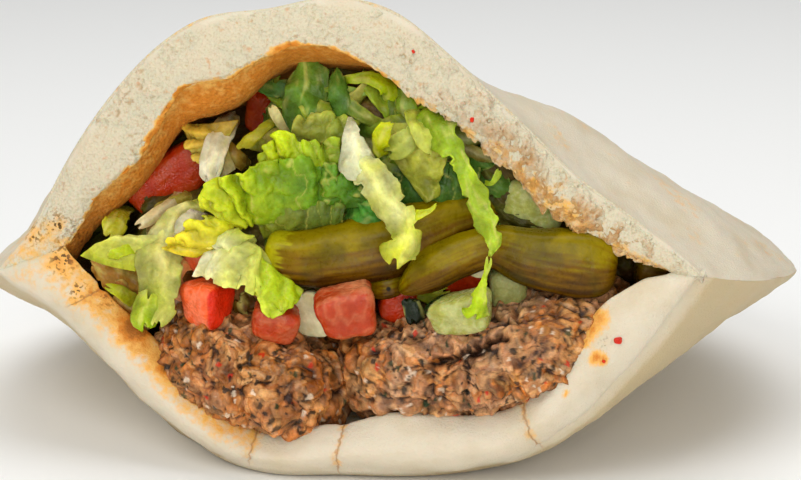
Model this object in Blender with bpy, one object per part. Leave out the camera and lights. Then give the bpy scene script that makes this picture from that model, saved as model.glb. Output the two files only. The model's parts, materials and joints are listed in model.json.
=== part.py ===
"""A pita pocket stuffed with kofta, shredded lettuce, pickled peppers and diced vegetables.

Lengths are in millimetres and MM turns them into metres. While the pieces are shaped, x runs
along the mouth of the pocket, y goes back into it from the mouth and z is up from what it stands on.
ORIGIN then moves everything, so that the origin is at the bottom, in the middle of the sandwich.
"""

import math
from functools import partial

import bmesh
import bpy
import numpy as np
from mathutils import Vector, noise

MM = 0.001
ORIGIN = np.array([-1.5, 63.55, 0.0])
GAP = 0.35

# The pita: a round bread, cut along a chord of its rim and opened there.
BREAD_RADIUS = 90.0
BREAD_CENTRE_X = -1.5
BREAD_CENTRE_Y = 52.0
RIM_HEIGHT_MOUTH = 41.0
RIM_HEIGHT_BACK = 22.0
RIM_FADE = 48.0
RIM_TILT = 4.0
CROWN_RISE = 28.0
CROWN_OPENING = 34.0
CROWN_FADE = 1.6
RIGHT_FLANK_DROP = 0.10
RIGHT_RIM_DROP = 0.13
LEFT_FLANK_DROP = 0.30
BELLY_DEPTH = 46.0
RIGHT_BELLY_DROP = 0.36
LEFT_BELLY_DROP = 0.60
EDGE_ROUNDING = 0.85
ROOF_OPENING_FADE = 36.0
FLOOR_OPENING_FADE = 38.0
FLOOR_SOFTNESS = 3.0
NECK_DEPTH = 2.2
NECK_PLACE = 11.0
NECK_WIDTH = 6.0

# The pocket inside it, an ellipse in plan.
POCKET_HALF_WIDTH = 80.0
POCKET_CENTRE_Y = 45.0
POCKET_REACH = 77.0
ROOF_THICKNESS = 7.0
FLOOR_THICKNESS = 6.0
POCKET_FADE = 30.0

# Edges of the torn mouth, as (x, z) from the left corner to the right one.
ROOF_SKIN_EDGE = [(-75, 38), (-66.5, 48), (-61, 58.5), (-52, 72.5), (-44.5, 81.5), (-33, 90.4), (-16, 94.4),
                  (-3, 96.5), (9, 93.6), (21, 84.6), (33.5, 73.5), (46, 62), (59, 53), (72, 43.5)]
ROOF_CRUMB_EDGE = [(-60, 44), (-54.5, 53), (-43, 65.5), (-36, 77), (-25, 81.5), (-11, 88.5), (0, 87),
                   (11.5, 80), (21.5, 73), (32, 65), (39, 57.5), (52.5, 49.5), (66, 44)]
FLOOR_CRUMB_EDGE = [(-60, 44), (-51.5, 36), (-41, 27), (-29.5, 16.5), (-18, 10), (-2, 11.5), (9, 14),
                    (26, 14.5), (36, 17.5), (45, 28), (52, 38), (58, 42), (66, 44)]
FLOOR_SKIN_EDGE = [(-75, 38), (-63, 32), (-52, 22.5), (-39.5, 12), (-29, 5), (-16, 1.1), (0, 1.9),
                   (14, 2.4), (27, 4), (36, 5.5), (48.5, 13.5), (60, 26), (72, 43.5)]
ROOF_SKIN_SETBACK = 3.0
ROOF_CRUMB_SETBACK = -1.0
FLOOR_CRUMB_SETBACK = -9.0
FLOOR_SKIN_SETBACK = -10.5
ROOF_FACE_BULGE = 0.8
FLOOR_ROLL_BULGE = 5.2

PITA_COLUMNS = 56
PITA_OUTER_ROWS = 17
PITA_LIP_ROWS = 4
PITA_INNER_ROWS = 9

# Two koftas that lie side by side and run back into the pocket: (x, y, z) along the middle line,
# half the width and half the height, and the roll in degrees.
KOFTAS = {
    "kofta_left": ([(-20.4, -13.5, 19.3), (-21, 5, 19.5), (-23, 45, 18), (-25, 92, 17)], (20.3, 11.0), -20),
    "kofta_right": ([(27.6, -11.5, 24.6), (27, 8, 24), (24, 48, 19.5), (21, 94, 18)], (29.5, 11.6), 13.5),
}
KOFTA_FULLNESS = 3.0
KOFTA_BLUNTNESS = 7.0
KOFTA_CRAG_SIZE = 7.0
KOFTA_CRAG_DEPTH = 1.3
KOFTA_ENVELOPE_MARGIN = 3.2
KOFTA_ROWS = 20
KOFTA_COLUMNS = 24
END_ROUNDING = 1 / 2.2

# Pickled peppers: (x, y, z, radius) along each.
PEPPERS = {
    "pepper_left": [(-17, -3, 46, 4.4), (-10, -3, 45, 5.3), (0, -2, 46.5, 6.0), (10.5, 1, 48.5, 6.2),
                    (20, 5, 51.5, 5.2), (30, 9, 53.5, 3.6)],
    "pepper_right": [(11, -4, 38.5, 2.2), (16.5, -4, 42.7, 3.9), (23, -3, 46, 3.9), (29.5, -2, 48.2, 3.8),
                     (36.5, -1, 46, 5.2), (45, 1, 44.8, 6.2), (54, 3, 43.6, 6.3)],
    "pepper_stub": [(3, 2, 38.5, 2.6), (7, 1, 38.5, 3.1), (11, 2.5, 40, 2.4)],
    "pepper_far": [(57, 12, 42.5, 4.6), (62, 13, 41.5, 4.2), (66, 20, 40.5, 3.4)],
}
PEPPER_FLATTENING = 0.9
PEPPER_BLUNTNESS = 9.0
PEPPER_ROWS = 12
PEPPER_COLUMNS = 10

# Diced vegetables: middle (x, y, z), size (x, y, z) and turn in degrees round x, y and z.
DICE = {
    "tomato_1": ((-28.8, -5.5, 34.8), (8.4, 8.2, 8.8), (8, 4, -28)),
    "tomato_2": ((-31.5, -1.0, 43.4), (4.4, 6.0, 5.6), (0, 5, -15)),
    "tomato_3": ((-15.2, -6.0, 31.9), (8.8, 7.6, 7.2), (18, 14, 20)),
    "tomato_4": ((-0.2, -6.5, 34.6), (10.8, 8.2, 9.6), (14, -12, 12)),
    "tomato_5": ((8.2, 3.0, 34.2), (6.8, 7.0, 7.4), (4, 10, 25)),
    "tomato_6": ((22.0, 4.5, 40.2), (8.0, 7.0, 6.5), (10, 8, 15)),
    "tomato_7": ((37.5, 7.5, 38.6), (6.0, 6.0, 6.0), (0, 20, 35)),
    "tomato_8": ((-41.5, 13.0, 55.5), (18.5, 8.0, 9.0), (0, -34, 10)),
    "tomato_9": ((-33.0, 18.0, 58.5), (6.0, 6.0, 6.5), (0, 12, 10)),
    "tomato_10": ((-22.5, 24.0, 68.5), (9.0, 8.0, 9.0), (0, 18, 0)),
    "tomato_11": ((-3.5, 20.0, 75.5), (7.5, 6.0, 4.5), (0, -10, 0)),
    "cucumber_1": ((23.2, -6.0, 35.2), (11.8, 8.0, 7.0), (12, -12, -12)),
    "cucumber_2": ((31.4, 1.5, 38.4), (6.8, 6.5, 8.8), (0, 0, 20)),
    "cucumber_3": ((35.5, 9.0, 54.4), (12.0, 7.0, 8.5), (0, 24, 14)),
    "onion_1": ((-8.2, -2.8, 32.4), (6.5, 3.4, 9.0), (10, -14, -10)),
    "onion_2": ((26.6, 5.0, 44.0), (5.0, 3.0, 4.4), (0, 30, 0)),
    "fried_piece": ((-22.8, 2.5, 33.4), (6.6, 6.0, 6.0), (6, 10, 10)),
}
DICE_BEVEL = 1.1
DICE_LEAN = (0.10, -0.08, 0.09)

# Shredded lettuce and cabbage: (x, y, z, width) along the middle of each strip, from its root.
STRIPS = {
    "left_leaf": [(-30, 12, 51, 4.5), (-36, -3.5, 49.5, 6.0), (-42, -6, 46.5, 7.5), (-48, -7, 45, 7.0),
                  (-54, -6.5, 45.2, 2.4)],
    "left_hanging": [(-35, 12, 51, 4.5), (-37.5, -5, 48.5, 6.5), (-38.4, -8, 43.6, 8.2),
                     (-38.6, -9.5, 37.5, 7.6), (-38.4, -10, 31.6, 5.6)],
    "left_arm": [(-22, 14, 56, 4.0), (-27, -0.5, 56.5, 4.6), (-33, -3, 52.5, 5.6), (-38.5, -5.5, 46.5, 4.0)],
    "left_rib": [(-32, 15, 56, 3.0), (-37.5, 2, 54.3, 3.2), (-44.5, -1.5, 49.5, 2.2)],
    "yellow_leaf": [(-22, 12, 55, 5.5), (-26.5, -4, 53, 6.6), (-30.5, -8, 49.5, 5.4),
                    (-35.5, -8.5, 46.8, 2.8)],
    "frilly_leaf": [(10, 12, 57, 8.0), (3.5, -4.5, 57.3, 11.0), (-5, -6.5, 58, 12.5),
                    (-14, -7.5, 57.6, 13.0), (-22.5, -6.5, 57.6, 10.5), (-29.5, -4.5, 58, 3.6)],
    "middle_leaf": [(-2, 16, 63, 6.0), (-7.5, 1.5, 66.5, 7.8), (-13.5, 0.5, 67.3, 7.6), (-19, 0, 65.5, 4.0)],
    "tall_leaf": [(-12.5, 22, 62, 6.0), (-11.8, 8, 70.5, 6.2), (-11.2, 8, 75.5, 6.6), (-10, 9, 80, 5.0)],
    "curl": [(-9, 16, 69, 3.0), (-5, 7, 76.8, 2.6), (1, 5, 79.2, 3.6), (7, 6, 78, 5.0), (10.5, 14, 72, 4.0)],
    "pale_strip": [(2, 14, 66, 5.0), (1.2, -4.5, 70, 4.8), (4, -7.5, 65, 7.2), (8.6, -9.5, 59.6, 7.2),
                   (12.4, -10.5, 53.4, 6.4), (12.9, -10.5, 46.4, 8.0)],
    "olive_leaf": [(9, 18, 69, 8.0), (12.2, 1, 67, 9.6), (15.2, -1, 62.6, 9.0), (17.8, -2, 58, 3.0)],
    "bright_strip": [(18, 16, 71, 6.0), (21.5, -4.5, 69.8, 6.8), (24.2, -6.5, 65.5, 6.4),
                     (25.8, -8, 60.4, 5.4), (28, -9.5, 56, 4.6), (30.6, -10, 51.6, 4.0),
                     (30.6, -10.6, 47.5, 2.4), (29.6, -11.5, 42, 2.0), (29.2, -12, 37.4, 3.0),
                     (28.9, -12, 33.4, 4.0)],
    "hanging_leaf": [(-21, 12, 54, 7.0), (-22.8, -6, 50, 9.0), (-21.5, -9, 45.6, 12.0),
                     (-17.6, -11, 42, 10.2), (-14.4, -12, 39, 7.0), (-12.2, -12.5, 36, 2.2)],
    "cabbage": [(-22, 22, 58, 4.0), (-23.5, 8, 66, 5.0), (-28, 7.5, 68.5, 5.6), (-33, 9, 68, 4.2)],
    "cabbage_rib": [(-26, 20, 60, 4.5), (-28.6, 5, 66.5, 5.0), (-28.2, 3, 62.5, 4.6), (-28, 2.5, 58.4, 3.0)],
    "right_leaf": [(22, 18, 69, 8.0), (18.5, 2.5, 75.2, 9.0), (14, 4, 77.3, 5.0)],
}
LEAF_THICKNESS = 1.0
LEAF_RUFFLE = 1.0
LEAF_WAVE = 9.0
LEAF_FACING = (0.17, -0.93, 0.32)
STRIP_EXTRA_ROWS = 3
STRIP_COLUMNS = 4

# The bed of salad behind them fills the pocket from a lumpy front, which stands further back in places:
# at the upper left and the right corner, under the roof, and above all beside the koftas.
BED_FRONT = 5.0
BED_RECESS_LEFT = 24.0
BED_RECESS_RIGHT = 12.0
BED_RECESS_ROOF = 9.0
BED_RECESS_KOFTA = 50.0
BED_LUMP_SIZE = 9.0
BED_LUMP_DEPTH = 3.0
BED_GRID = (19, 11)
BED_COLUMN_STEP = 2
BED_BEFORE_MOUTH = 12.0
BED_THICKNESS = 150.0

# How far out of the mouth the filling may reach.
ROOM_BEFORE_MOUTH = 40.0

# Finish of each kind of piece: base colour (linear) and roughness.
FINISHES = {
    "pita": ((0.74, 0.64, 0.46), 0.75),
    "kofta": ((0.26, 0.13, 0.07), 0.6),
    "pepper": ((0.24, 0.17, 0.02), 0.3),
    "tomato": ((0.64, 0.09, 0.03), 0.25),
    "cucumber": ((0.55, 0.66, 0.24), 0.3),
    "onion": ((0.72, 0.70, 0.48), 0.3),
    "fried": ((0.34, 0.16, 0.06), 0.5),
    "salad": ((0.38, 0.60, 0.05), 0.4),
}


def clear_scene():
    for obj in list(bpy.data.objects):
        bpy.data.objects.remove(obj, do_unlink=True)


def smooth_step(x):
    x = np.clip(x, 0.0, 1.0)
    return x * x * (3.0 - 2.0 * x)


def soft_floor(z):
    """z kept at or above 0: exactly 0 below 0, z itself above FLOOR_SOFTNESS, and a cubic between them."""
    t = np.clip(z / FLOOR_SOFTNESS, 0.0, 1.0)
    return np.where(z > FLOOR_SOFTNESS, z, FLOOR_SOFTNESS * (2.0 * t**2 - t**3))


def curve_through(points, x):
    """A smooth curve z(x) through the points, by cubic pieces whose slopes are those of the neighbours."""
    px, pz = np.array(points, float).T
    slope = np.gradient(pz, px)
    i = np.clip(np.searchsorted(px, x) - 1, 0, len(px) - 2)
    h = px[i + 1] - px[i]
    t = np.clip((x - px[i]) / h, 0.0, 1.0)
    return ((2 * t**3 - 3 * t**2 + 1) * pz[i] + (t**3 - 2 * t**2 + t) * h * slope[i]
            + (3 * t**2 - 2 * t**3) * pz[i + 1] + (t**3 - t**2) * h * slope[i + 1])


class Pita:
    """The bread as rings of points: its skin up to the mouth, the torn lip, and the pocket's wall."""

    def __init__(self, columns):
        angle = 2.0 * np.pi * np.arange(columns) / columns
        self.across = np.cos(angle)
        self.crest = np.sin(angle) ** 2
        self.is_roof = np.sin(angle) > 0

    def edge(self, roof_points, floor_points, setback_roof, setback_floor):
        """One edge of the mouth: a ring of points through the roof's and the floor's outlines."""
        left, right = roof_points[0][0], roof_points[-1][0]
        x = (left + right) / 2 + self.across * (right - left) / 2
        z = np.where(self.is_roof, curve_through(roof_points, x), curve_through(floor_points, x))
        y = self.crest * np.where(self.is_roof, setback_roof, setback_floor)
        return np.stack([x, y, z], axis=-1)

    def skin_edge(self):
        return self.edge(ROOF_SKIN_EDGE, FLOOR_SKIN_EDGE, ROOF_SKIN_SETBACK, FLOOR_SKIN_SETBACK)

    def crumb_edge(self):
        return self.edge(ROOF_CRUMB_EDGE, FLOOR_CRUMB_EDGE, ROOF_CRUMB_SETBACK, FLOOR_CRUMB_SETBACK)

    def heights(self, depth, crown_cut, floor_keep, end):
        """Heights of a closed section, the bread's skin or, with its thickness taken off, the pocket."""
        half_width = math.sqrt(max(BREAD_RADIUS**2 - (depth - BREAD_CENTRE_Y) ** 2, 0.0))
        spread = half_width / BREAD_RADIUS
        back = depth / (BREAD_CENTRE_Y + BREAD_RADIUS)
        rim = (RIM_HEIGHT_BACK + (RIM_HEIGHT_MOUTH - RIM_HEIGHT_BACK) * math.exp(-depth / RIM_FADE)
               + RIM_TILT * self.across)
        crown = CROWN_RISE * spread**2 + CROWN_OPENING * max(1 - back, 0.0) ** CROWN_FADE
        dome = self.crest**EDGE_ROUNDING * (1 - RIGHT_FLANK_DROP * smooth_step(self.across / 0.35)
                                            - RIGHT_RIM_DROP * smooth_step((self.across - 0.45) / 0.3)
                                            - LEFT_FLANK_DROP * smooth_step((-self.across - 0.5) / 0.35))
        roof = rim + max(crown - crown_cut, 0.5) * end * dome
        bowl = self.crest**EDGE_ROUNDING * (1 - RIGHT_BELLY_DROP * smooth_step((self.across - 0.3) / 0.45)
                                            - LEFT_BELLY_DROP * smooth_step((-self.across - 0.4) / 0.45))
        belly = rim - soft_floor(rim - BELLY_DEPTH * spread**1.2 * bowl)
        return np.where(self.is_roof, roof, rim - belly * floor_keep * end)

    def outer_ring(self, turn):
        """The skin at the angle turn round the bread's plan, from the mouth's edge to the back."""
        first = math.asin(-BREAD_CENTRE_Y / BREAD_RADIUS)
        phi = first + (math.pi / 2 - first) * turn
        depth = BREAD_CENTRE_Y + BREAD_RADIUS * math.sin(phi)
        edge = self.skin_edge()
        opening = 1 - smooth_step(depth / np.where(self.is_roof, ROOF_OPENING_FADE, FLOOR_OPENING_FADE))
        x = BREAD_CENTRE_X + BREAD_RADIUS * math.cos(phi) * self.across
        x0 = BREAD_CENTRE_X + BREAD_RADIUS * math.cos(first) * self.across
        z = self.heights(depth, 0.0, 1.0, 1.0) + opening * (edge[:, 2] - self.heights(0.0, 0.0, 1.0, 1.0))
        neck = NECK_DEPTH * self.crest**0.5 * math.exp(-(((depth - NECK_PLACE) / NECK_WIDTH) ** 2))
        z = np.where(self.is_roof, z, soft_floor(z + neck))
        y = depth + edge[:, 1] * max(1 - depth / 45.0, 0.0) ** 2
        return np.stack([x + opening * (edge[:, 0] - x0), y, z], axis=-1)

    def inner_ring(self, turn):
        """The wall of the pocket, from the crumb's edge to the closed end."""
        first = math.asin(-POCKET_CENTRE_Y / POCKET_REACH)
        phi = first + (math.pi / 2 - first) * turn
        depth = POCKET_CENTRE_Y + POCKET_REACH * math.sin(phi)
        end = math.cos(phi) ** 0.6 if phi > 0 else 1.0
        edge = self.crumb_edge()
        floor_keep = 1 - FLOOR_THICKNESS / RIM_HEIGHT_BACK
        opening = 1 - smooth_step(depth / POCKET_FADE)
        x = BREAD_CENTRE_X + POCKET_HALF_WIDTH * math.cos(phi) * self.across
        x0 = BREAD_CENTRE_X + POCKET_HALF_WIDTH * math.cos(first) * self.across
        start = self.heights(0.0, ROOF_THICKNESS, floor_keep, 1.0)
        z = self.heights(depth, ROOF_THICKNESS, floor_keep, end) + opening * (edge[:, 2] - start)
        y = depth + edge[:, 1] * max(1 - depth / 45.0, 0.0) ** 2
        return np.stack([x + opening * (edge[:, 0] - x0), y, z], axis=-1)

    def lip_ring(self, way):
        """The torn face between the two edges: nearly flat on the roof, a rounded roll on the floor."""
        ring = self.skin_edge() * (1 - way) + self.crumb_edge() * way
        bulge = np.where(self.is_roof, ROOF_FACE_BULGE, FLOOR_ROLL_BULGE * self.crest**0.35)
        ring[:, 1] -= bulge * math.sin(math.pi * way) ** 0.8
        return ring

    def rings(self, outer_rows, lip_rows, inner_rows):
        """All rings from the pole at the back, over the lip, to the pole at the pocket's end."""
        skin = [self.outer_ring(1 - (k / outer_rows) ** 0.85) for k in range(outer_rows + 1)]
        lip = [self.lip_ring(k / (lip_rows + 1)) for k in range(1, lip_rows + 1)]
        inside = [self.inner_ring((k / inner_rows) ** 1.2) for k in range(inner_rows + 1)]
        return np.array(skin + lip + inside)


def ring_triangles(rows, columns):
    """Triangles over rings of points whose first and last rings are single points."""
    last = 1 + (rows - 2) * columns

    def at(row, column):
        if row == 0:
            return 0
        if row == rows - 1:
            return last
        return 1 + (row - 1) * columns + column % columns

    faces = []
    for row in range(rows - 1):
        for column in range(columns):
            a, b = at(row, column), at(row, column + 1)
            c, d = at(row + 1, column + 1), at(row + 1, column)
            if row > 0:
                faces.append((a, b, c))
            if row < rows - 2:
                faces.append((a, c, d))
    return faces


def ring_points(rings):
    """The rings as one list of points, with each end ring as its centre."""
    first, last = rings[0].mean(axis=0), rings[-1].mean(axis=0)
    return np.concatenate([first[None], rings[1:-1].reshape(-1, 3), last[None]])


def outward(points, faces):
    """The faces, turned over if they enclose the points inside out."""
    corners = points[np.array(faces)] - points.mean(axis=0)
    volume = np.einsum("ij,ij->", np.cross(corners[:, 0], corners[:, 1]), corners[:, 2])
    return faces if volume > 0 else [face[::-1] for face in faces]


def inflated(rings, distance):
    """The rings moved along their normals, away from the solid that they enclose."""
    points, faces = ring_points(rings), ring_triangles(*rings.shape[:2])
    along = np.gradient(rings, axis=0)
    around = np.roll(rings, -1, axis=1) - np.roll(rings, 1, axis=1)
    normal = np.cross(around, along)
    if outward(points, faces) is not faces:
        normal *= -1
    for end, beside in ((0, 1), (-1, -2)):
        normal[end] = normal[beside].mean(axis=0)
    normal /= np.linalg.norm(normal, axis=-1, keepdims=True)
    return rings + distance * normal


def new_solid(name, points, faces, collection):
    """An object of the given points, in millimetres, and triangles."""
    mesh = bpy.data.meshes.new(name)
    mesh.from_pydata(((points - ORIGIN) * MM).tolist(), [], outward(points, faces))
    obj = bpy.data.objects.new(name, mesh)
    collection.objects.link(obj)
    return obj


def new_loft(rings, name, collection, grow=0.0):
    """An object over rings of points, grown on all sides."""
    points = ring_points(inflated(rings, grow))
    return new_solid(name, points, ring_triangles(*rings.shape[:2]), collection)


def smooth_line(points, t):
    """Points at the shares t along a smooth curve through the given points, with all their columns."""
    points = np.array(points, float)
    step = np.linalg.norm(np.diff(points[:, :3], axis=0), axis=1)
    place = np.concatenate([[0.0], np.cumsum(step)]) / step.sum()
    return np.stack([curve_through(np.stack([place, column], axis=-1), t) for column in points.T], axis=-1)


def frames_along(line, facing):
    """Directions at each point of a line: along it, across it, and out of the strip's face."""
    tangent = np.gradient(line, axis=0)
    tangent /= np.linalg.norm(tangent, axis=1, keepdims=True)
    side = np.cross(np.broadcast_to(facing, tangent.shape), tangent)
    side /= np.linalg.norm(side, axis=1, keepdims=True)
    return tangent, side, np.cross(tangent, side)


def bumps(points, size, seed):
    """Smooth noise from -1 to 1 at each point, whose lumps are about the given size."""
    flat = np.asarray(points).reshape(-1, 3) / size + seed * 7.31
    values = np.array([noise.noise(Vector(point)) for point in flat])
    return values.reshape(np.asarray(points).shape[:-1])


def finger_rings(points, half_width, half_height, roll, rows, columns, fullness, bluntness):
    """A finger along a line: superelliptic sections, rolled round the line, with rounded ends.

    A fourth number at each point of the line scales the section there.
    """
    t = (1 - np.cos(np.pi * np.linspace(0.0, 1.0, rows))) / 2
    line = smooth_line(points, t)
    tangent, side, up = frames_along(line[:, :3], (0.0, 0.0, 1.0))
    turn = math.radians(roll)
    side, up = side * math.cos(turn) - up * math.sin(turn), up * math.cos(turn) + side * math.sin(turn)
    end = (1 - np.abs(2 * t - 1) ** bluntness) ** END_ROUNDING
    scale = end if line.shape[1] == 3 else end * line[:, 3]
    angle = 2 * np.pi * np.arange(columns) / columns
    wide = np.sign(np.cos(angle)) * np.abs(np.cos(angle)) ** (2 / fullness) * half_width
    high = np.sign(np.sin(angle)) * np.abs(np.sin(angle)) ** (2 / fullness) * half_height
    return (line[:, None, :3] + scale[:, None, None]
            * (wide[None, :, None] * side[:, None] + high[None, :, None] * up[:, None]))


def kofta_rings(line, size, roll, seed):
    rings = finger_rings(line, size[0], size[1], roll, KOFTA_ROWS, KOFTA_COLUMNS, KOFTA_FULLNESS,
                         KOFTA_BLUNTNESS)
    crags = bumps(rings, KOFTA_CRAG_SIZE, seed) + 0.5 * bumps(rings, KOFTA_CRAG_SIZE / 2, seed + 1)
    return inflated(rings, (KOFTA_CRAG_DEPTH * crags)[..., None])


def kofta_envelope(line, size, roll):
    """A coarser kofta without its crags, just large enough to hold the real one."""
    half_width, half_height = (half + KOFTA_ENVELOPE_MARGIN for half in size)
    x, y, z = line[-1]
    longer = [*line[:-1], (x, y + 3 * KOFTA_ENVELOPE_MARGIN, z)]
    return finger_rings(longer, half_width, half_height, roll, KOFTA_ROWS // 2, KOFTA_COLUMNS // 2,
                        KOFTA_FULLNESS, KOFTA_BLUNTNESS)


def pepper_rings(points):
    return finger_rings(points, 1.0, PEPPER_FLATTENING, 0.0, PEPPER_ROWS, PEPPER_COLUMNS, 2.0,
                        PEPPER_BLUNTNESS)


def strip_surface(points, seed):
    """A strip as a grid of points, wavy along its length and most of all at its edges."""
    t = np.linspace(0.0, 1.0, len(points) + STRIP_EXTRA_ROWS)
    line = smooth_line(points, t)
    tangent, side, face = frames_along(line[:, :3], LEAF_FACING)
    across = np.linspace(-0.5, 0.5, STRIP_COLUMNS)
    length = np.cumsum(np.concatenate([[0.0], np.linalg.norm(np.diff(line[:, :3], axis=0), axis=1)]))
    wave = np.sin(2 * np.pi * (length[:, None] / LEAF_WAVE + 0.35 * across[None, :] + seed * 0.37))
    lift = LEAF_RUFFLE * wave * (0.4 + 2.0 * np.abs(across[None, :]))
    return (line[:, None, :3] + side[:, None] * (across[None, :, None] * line[:, None, 3:4])
            + face[:, None] * lift[..., None])


def solid_between(front, back):
    """Points and triangles of the solid between two grids of points, both faces split alike."""
    rows, columns = front.shape[:2]
    index = np.arange(rows * columns).reshape(rows, columns)
    a, b, c, d = index[:-1, :-1], index[:-1, 1:], index[1:, 1:], index[1:, :-1]
    face = np.concatenate([np.stack([a, b, c], -1).reshape(-1, 3), np.stack([a, c, d], -1).reshape(-1, 3)])
    rim = np.concatenate([index[0, :-1], index[:-1, -1], index[-1, :0:-1], index[:0:-1, 0]])
    following = np.roll(rim, -1)
    behind = rows * columns
    walls = np.concatenate([np.stack([following, rim, rim + behind], -1),
                            np.stack([following, rim + behind, following + behind], -1)])
    points = np.concatenate([front.reshape(-1, 3), back.reshape(-1, 3)])
    return points, np.concatenate([face, face[:, ::-1] + behind, walls]).tolist()


def leaf_solid(surface):
    """A leaf on both sides of a grid of points."""
    normal = np.cross(np.gradient(surface, axis=0), np.gradient(surface, axis=1))
    normal *= LEAF_THICKNESS / 2 / np.linalg.norm(normal, axis=-1, keepdims=True)
    return solid_between(surface + normal, surface - normal)


def bed_block():
    """A block with the bed's lumpy front, which reaches past the pocket on all other sides."""
    x, z = np.meshgrid(np.linspace(-86, 84, BED_GRID[0]), np.linspace(-4, 102, BED_GRID[1]), indexing="ij")
    left = smooth_step((-8 - x) / 22) * smooth_step((z - 50) / 16)
    right = smooth_step((x - 38) / 16)
    roof = smooth_step((z - 72) / 12)
    beside_kofta = smooth_step((38 - z) / 12)
    y = (BED_FRONT + BED_RECESS_LEFT * left + BED_RECESS_RIGHT * right + BED_RECESS_ROOF * roof
         + BED_RECESS_KOFTA * beside_kofta)
    flat = np.stack([x, 0 * x, z], axis=-1)
    y += BED_LUMP_DEPTH * bumps(flat, BED_LUMP_SIZE, 5)
    front = np.stack([x, y, z], axis=-1)
    return solid_between(front, front * [1, 0, 1] + [0, BED_THICKNESS, 0])


def new_dice(middle, size, turn, name, collection, grow=0.0):
    """A diced piece with softened edges and not quite square, in which one corner is the largest."""
    mesh = bpy.data.meshes.new(name)
    shape = bmesh.new()
    bmesh.ops.create_cube(shape, size=1.0)
    for vert in shape.verts:
        lean = 1 + 2 * Vector(DICE_LEAN).dot(vert.co)
        vert.co = Vector([side * (extent * lean + 2 * grow) * MM for side, extent in zip(vert.co, size)])
    bmesh.ops.bevel(shape, geom=shape.edges[:], offset=DICE_BEVEL * MM, segments=1, affect="EDGES")
    bmesh.ops.triangulate(shape, faces=shape.faces[:])
    shape.to_mesh(mesh)
    shape.free()
    obj = bpy.data.objects.new(name, mesh)
    obj.location = (Vector(middle) - Vector(ORIGIN)) * MM
    obj.rotation_euler = [math.radians(angle) for angle in turn]
    collection.objects.link(obj)
    return obj


def combine(obj, operation, solver):
    """Applies one Boolean with all the cutters, and removes them."""
    modifier = obj.modifiers.new(operation.lower(), "BOOLEAN")
    modifier.operation = operation
    modifier.operand_type = "COLLECTION"
    modifier.collection = cutters
    modifier.solver = solver
    bpy.context.view_layer.update()
    graph = bpy.context.evaluated_depsgraph_get()
    mesh = bpy.data.meshes.new_from_object(obj.evaluated_get(graph))
    obj.modifiers.clear()
    obj.data = mesh
    for cutter in list(cutters.objects):
        bpy.data.objects.remove(cutter, do_unlink=True)


def keep_largest_piece(obj):
    """Drops the loose scraps that a Boolean left, and the walls of sealed hollows."""
    shape = bmesh.new()
    shape.from_mesh(obj.data)
    bmesh.ops.triangulate(shape, faces=shape.faces[:])
    unseen = set(shape.faces)
    pieces = []
    while unseen:
        piece = [unseen.pop()]
        for face in piece:
            for edge in face.edges:
                joined = unseen.intersection(edge.link_faces)
                unseen -= joined
                piece.extend(joined)
        pieces.append(piece)
    pieces.sort(key=len)
    scraps = [face for piece in pieces[:-1] for face in piece]
    bmesh.ops.delete(shape, geom=scraps, context="FACES")
    shape.to_mesh(obj.data)
    shape.free()


def new_salad(name, collection, grow=0.0):
    """The bed, which fills the pocket behind its front, with all the strips joined to it."""
    salad = new_solid(name, *bed_block(), collection)
    pocket = inflated(rings, 2 * GAP)[-(PITA_INNER_ROWS + 1):, ::BED_COLUMN_STEP]
    mouth = pocket[:1] - [0, BED_BEFORE_MOUTH, 0]
    new_loft(np.concatenate([mouth, mouth, pocket[1:]]), "pocket", cutters)
    combine(salad, "INTERSECT", "MANIFOLD")
    for seed, (strip, points) in enumerate(STRIPS.items()):
        new_solid(strip, *leaf_solid(strip_surface(points, seed)), cutters)
    combine(salad, "UNION", "MANIFOLD")
    return salad


def add_piece(name, make, neighbours, solver="EXACT"):
    """Adds a piece of the filling, cut to the room and to a gap from the neighbours already there."""
    piece = make(name, sandwich)
    new_loft(room, "room", cutters)
    combine(piece, "INTERSECT", solver)
    if neighbours:
        for make_neighbour in neighbours:
            make_neighbour("neighbour", cutters, GAP)
        combine(piece, "DIFFERENCE", solver)
    keep_largest_piece(piece)


def add_material(piece):
    (colour, roughness), = [finish for kind, finish in FINISHES.items() if piece.name.startswith(kind)]
    material = bpy.data.materials.new(piece.name)
    material.use_nodes = True
    shader = material.node_tree.nodes["Principled BSDF"]
    shader.inputs["Base Color"].default_value = (*colour, 1.0)
    shader.inputs["Roughness"].default_value = roughness
    piece.data.materials.clear()
    piece.data.materials.append(material)


clear_scene()
sandwich = bpy.data.collections.new("Stuffed_pita")
cutters = bpy.data.collections.new("Cutters")
for collection in (sandwich, cutters):
    bpy.context.scene.collection.children.link(collection)
cutters.hide_render = True

rings = Pita(PITA_COLUMNS).rings(PITA_OUTER_ROWS, PITA_LIP_ROWS, PITA_INNER_ROWS)
new_loft(rings, "pita", sandwich)

# The room for the filling: the pocket, less a gap, and the space before its mouth.
room = inflated(rings, GAP)[PITA_OUTER_ROWS + PITA_LIP_ROWS // 2:]
before = room[:1] * [1, 0, 1] - [0, ROOM_BEFORE_MOUTH, 0]
room = np.concatenate([before, before, room])

makers = {name: partial(new_loft, kofta_rings(*shape, seed))
          for seed, (name, shape) in enumerate(KOFTAS.items())}
makers.update({name: partial(new_loft, pepper_rings(points)) for name, points in PEPPERS.items()})
makers.update({name: partial(new_dice, *shape) for name, shape in DICE.items()})

neighbours = []
for name, make in makers.items():
    add_piece(name, make, neighbours)
    neighbours.append(make)

neighbours[:len(KOFTAS)] = [partial(new_loft, kofta_envelope(*shape)) for shape in KOFTAS.values()]
# The exact solver leaves walls in the salad that touch along an edge.
add_piece("salad", new_salad, neighbours, "MANIFOLD")

for piece in sandwich.objects:
    add_material(piece)
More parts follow.
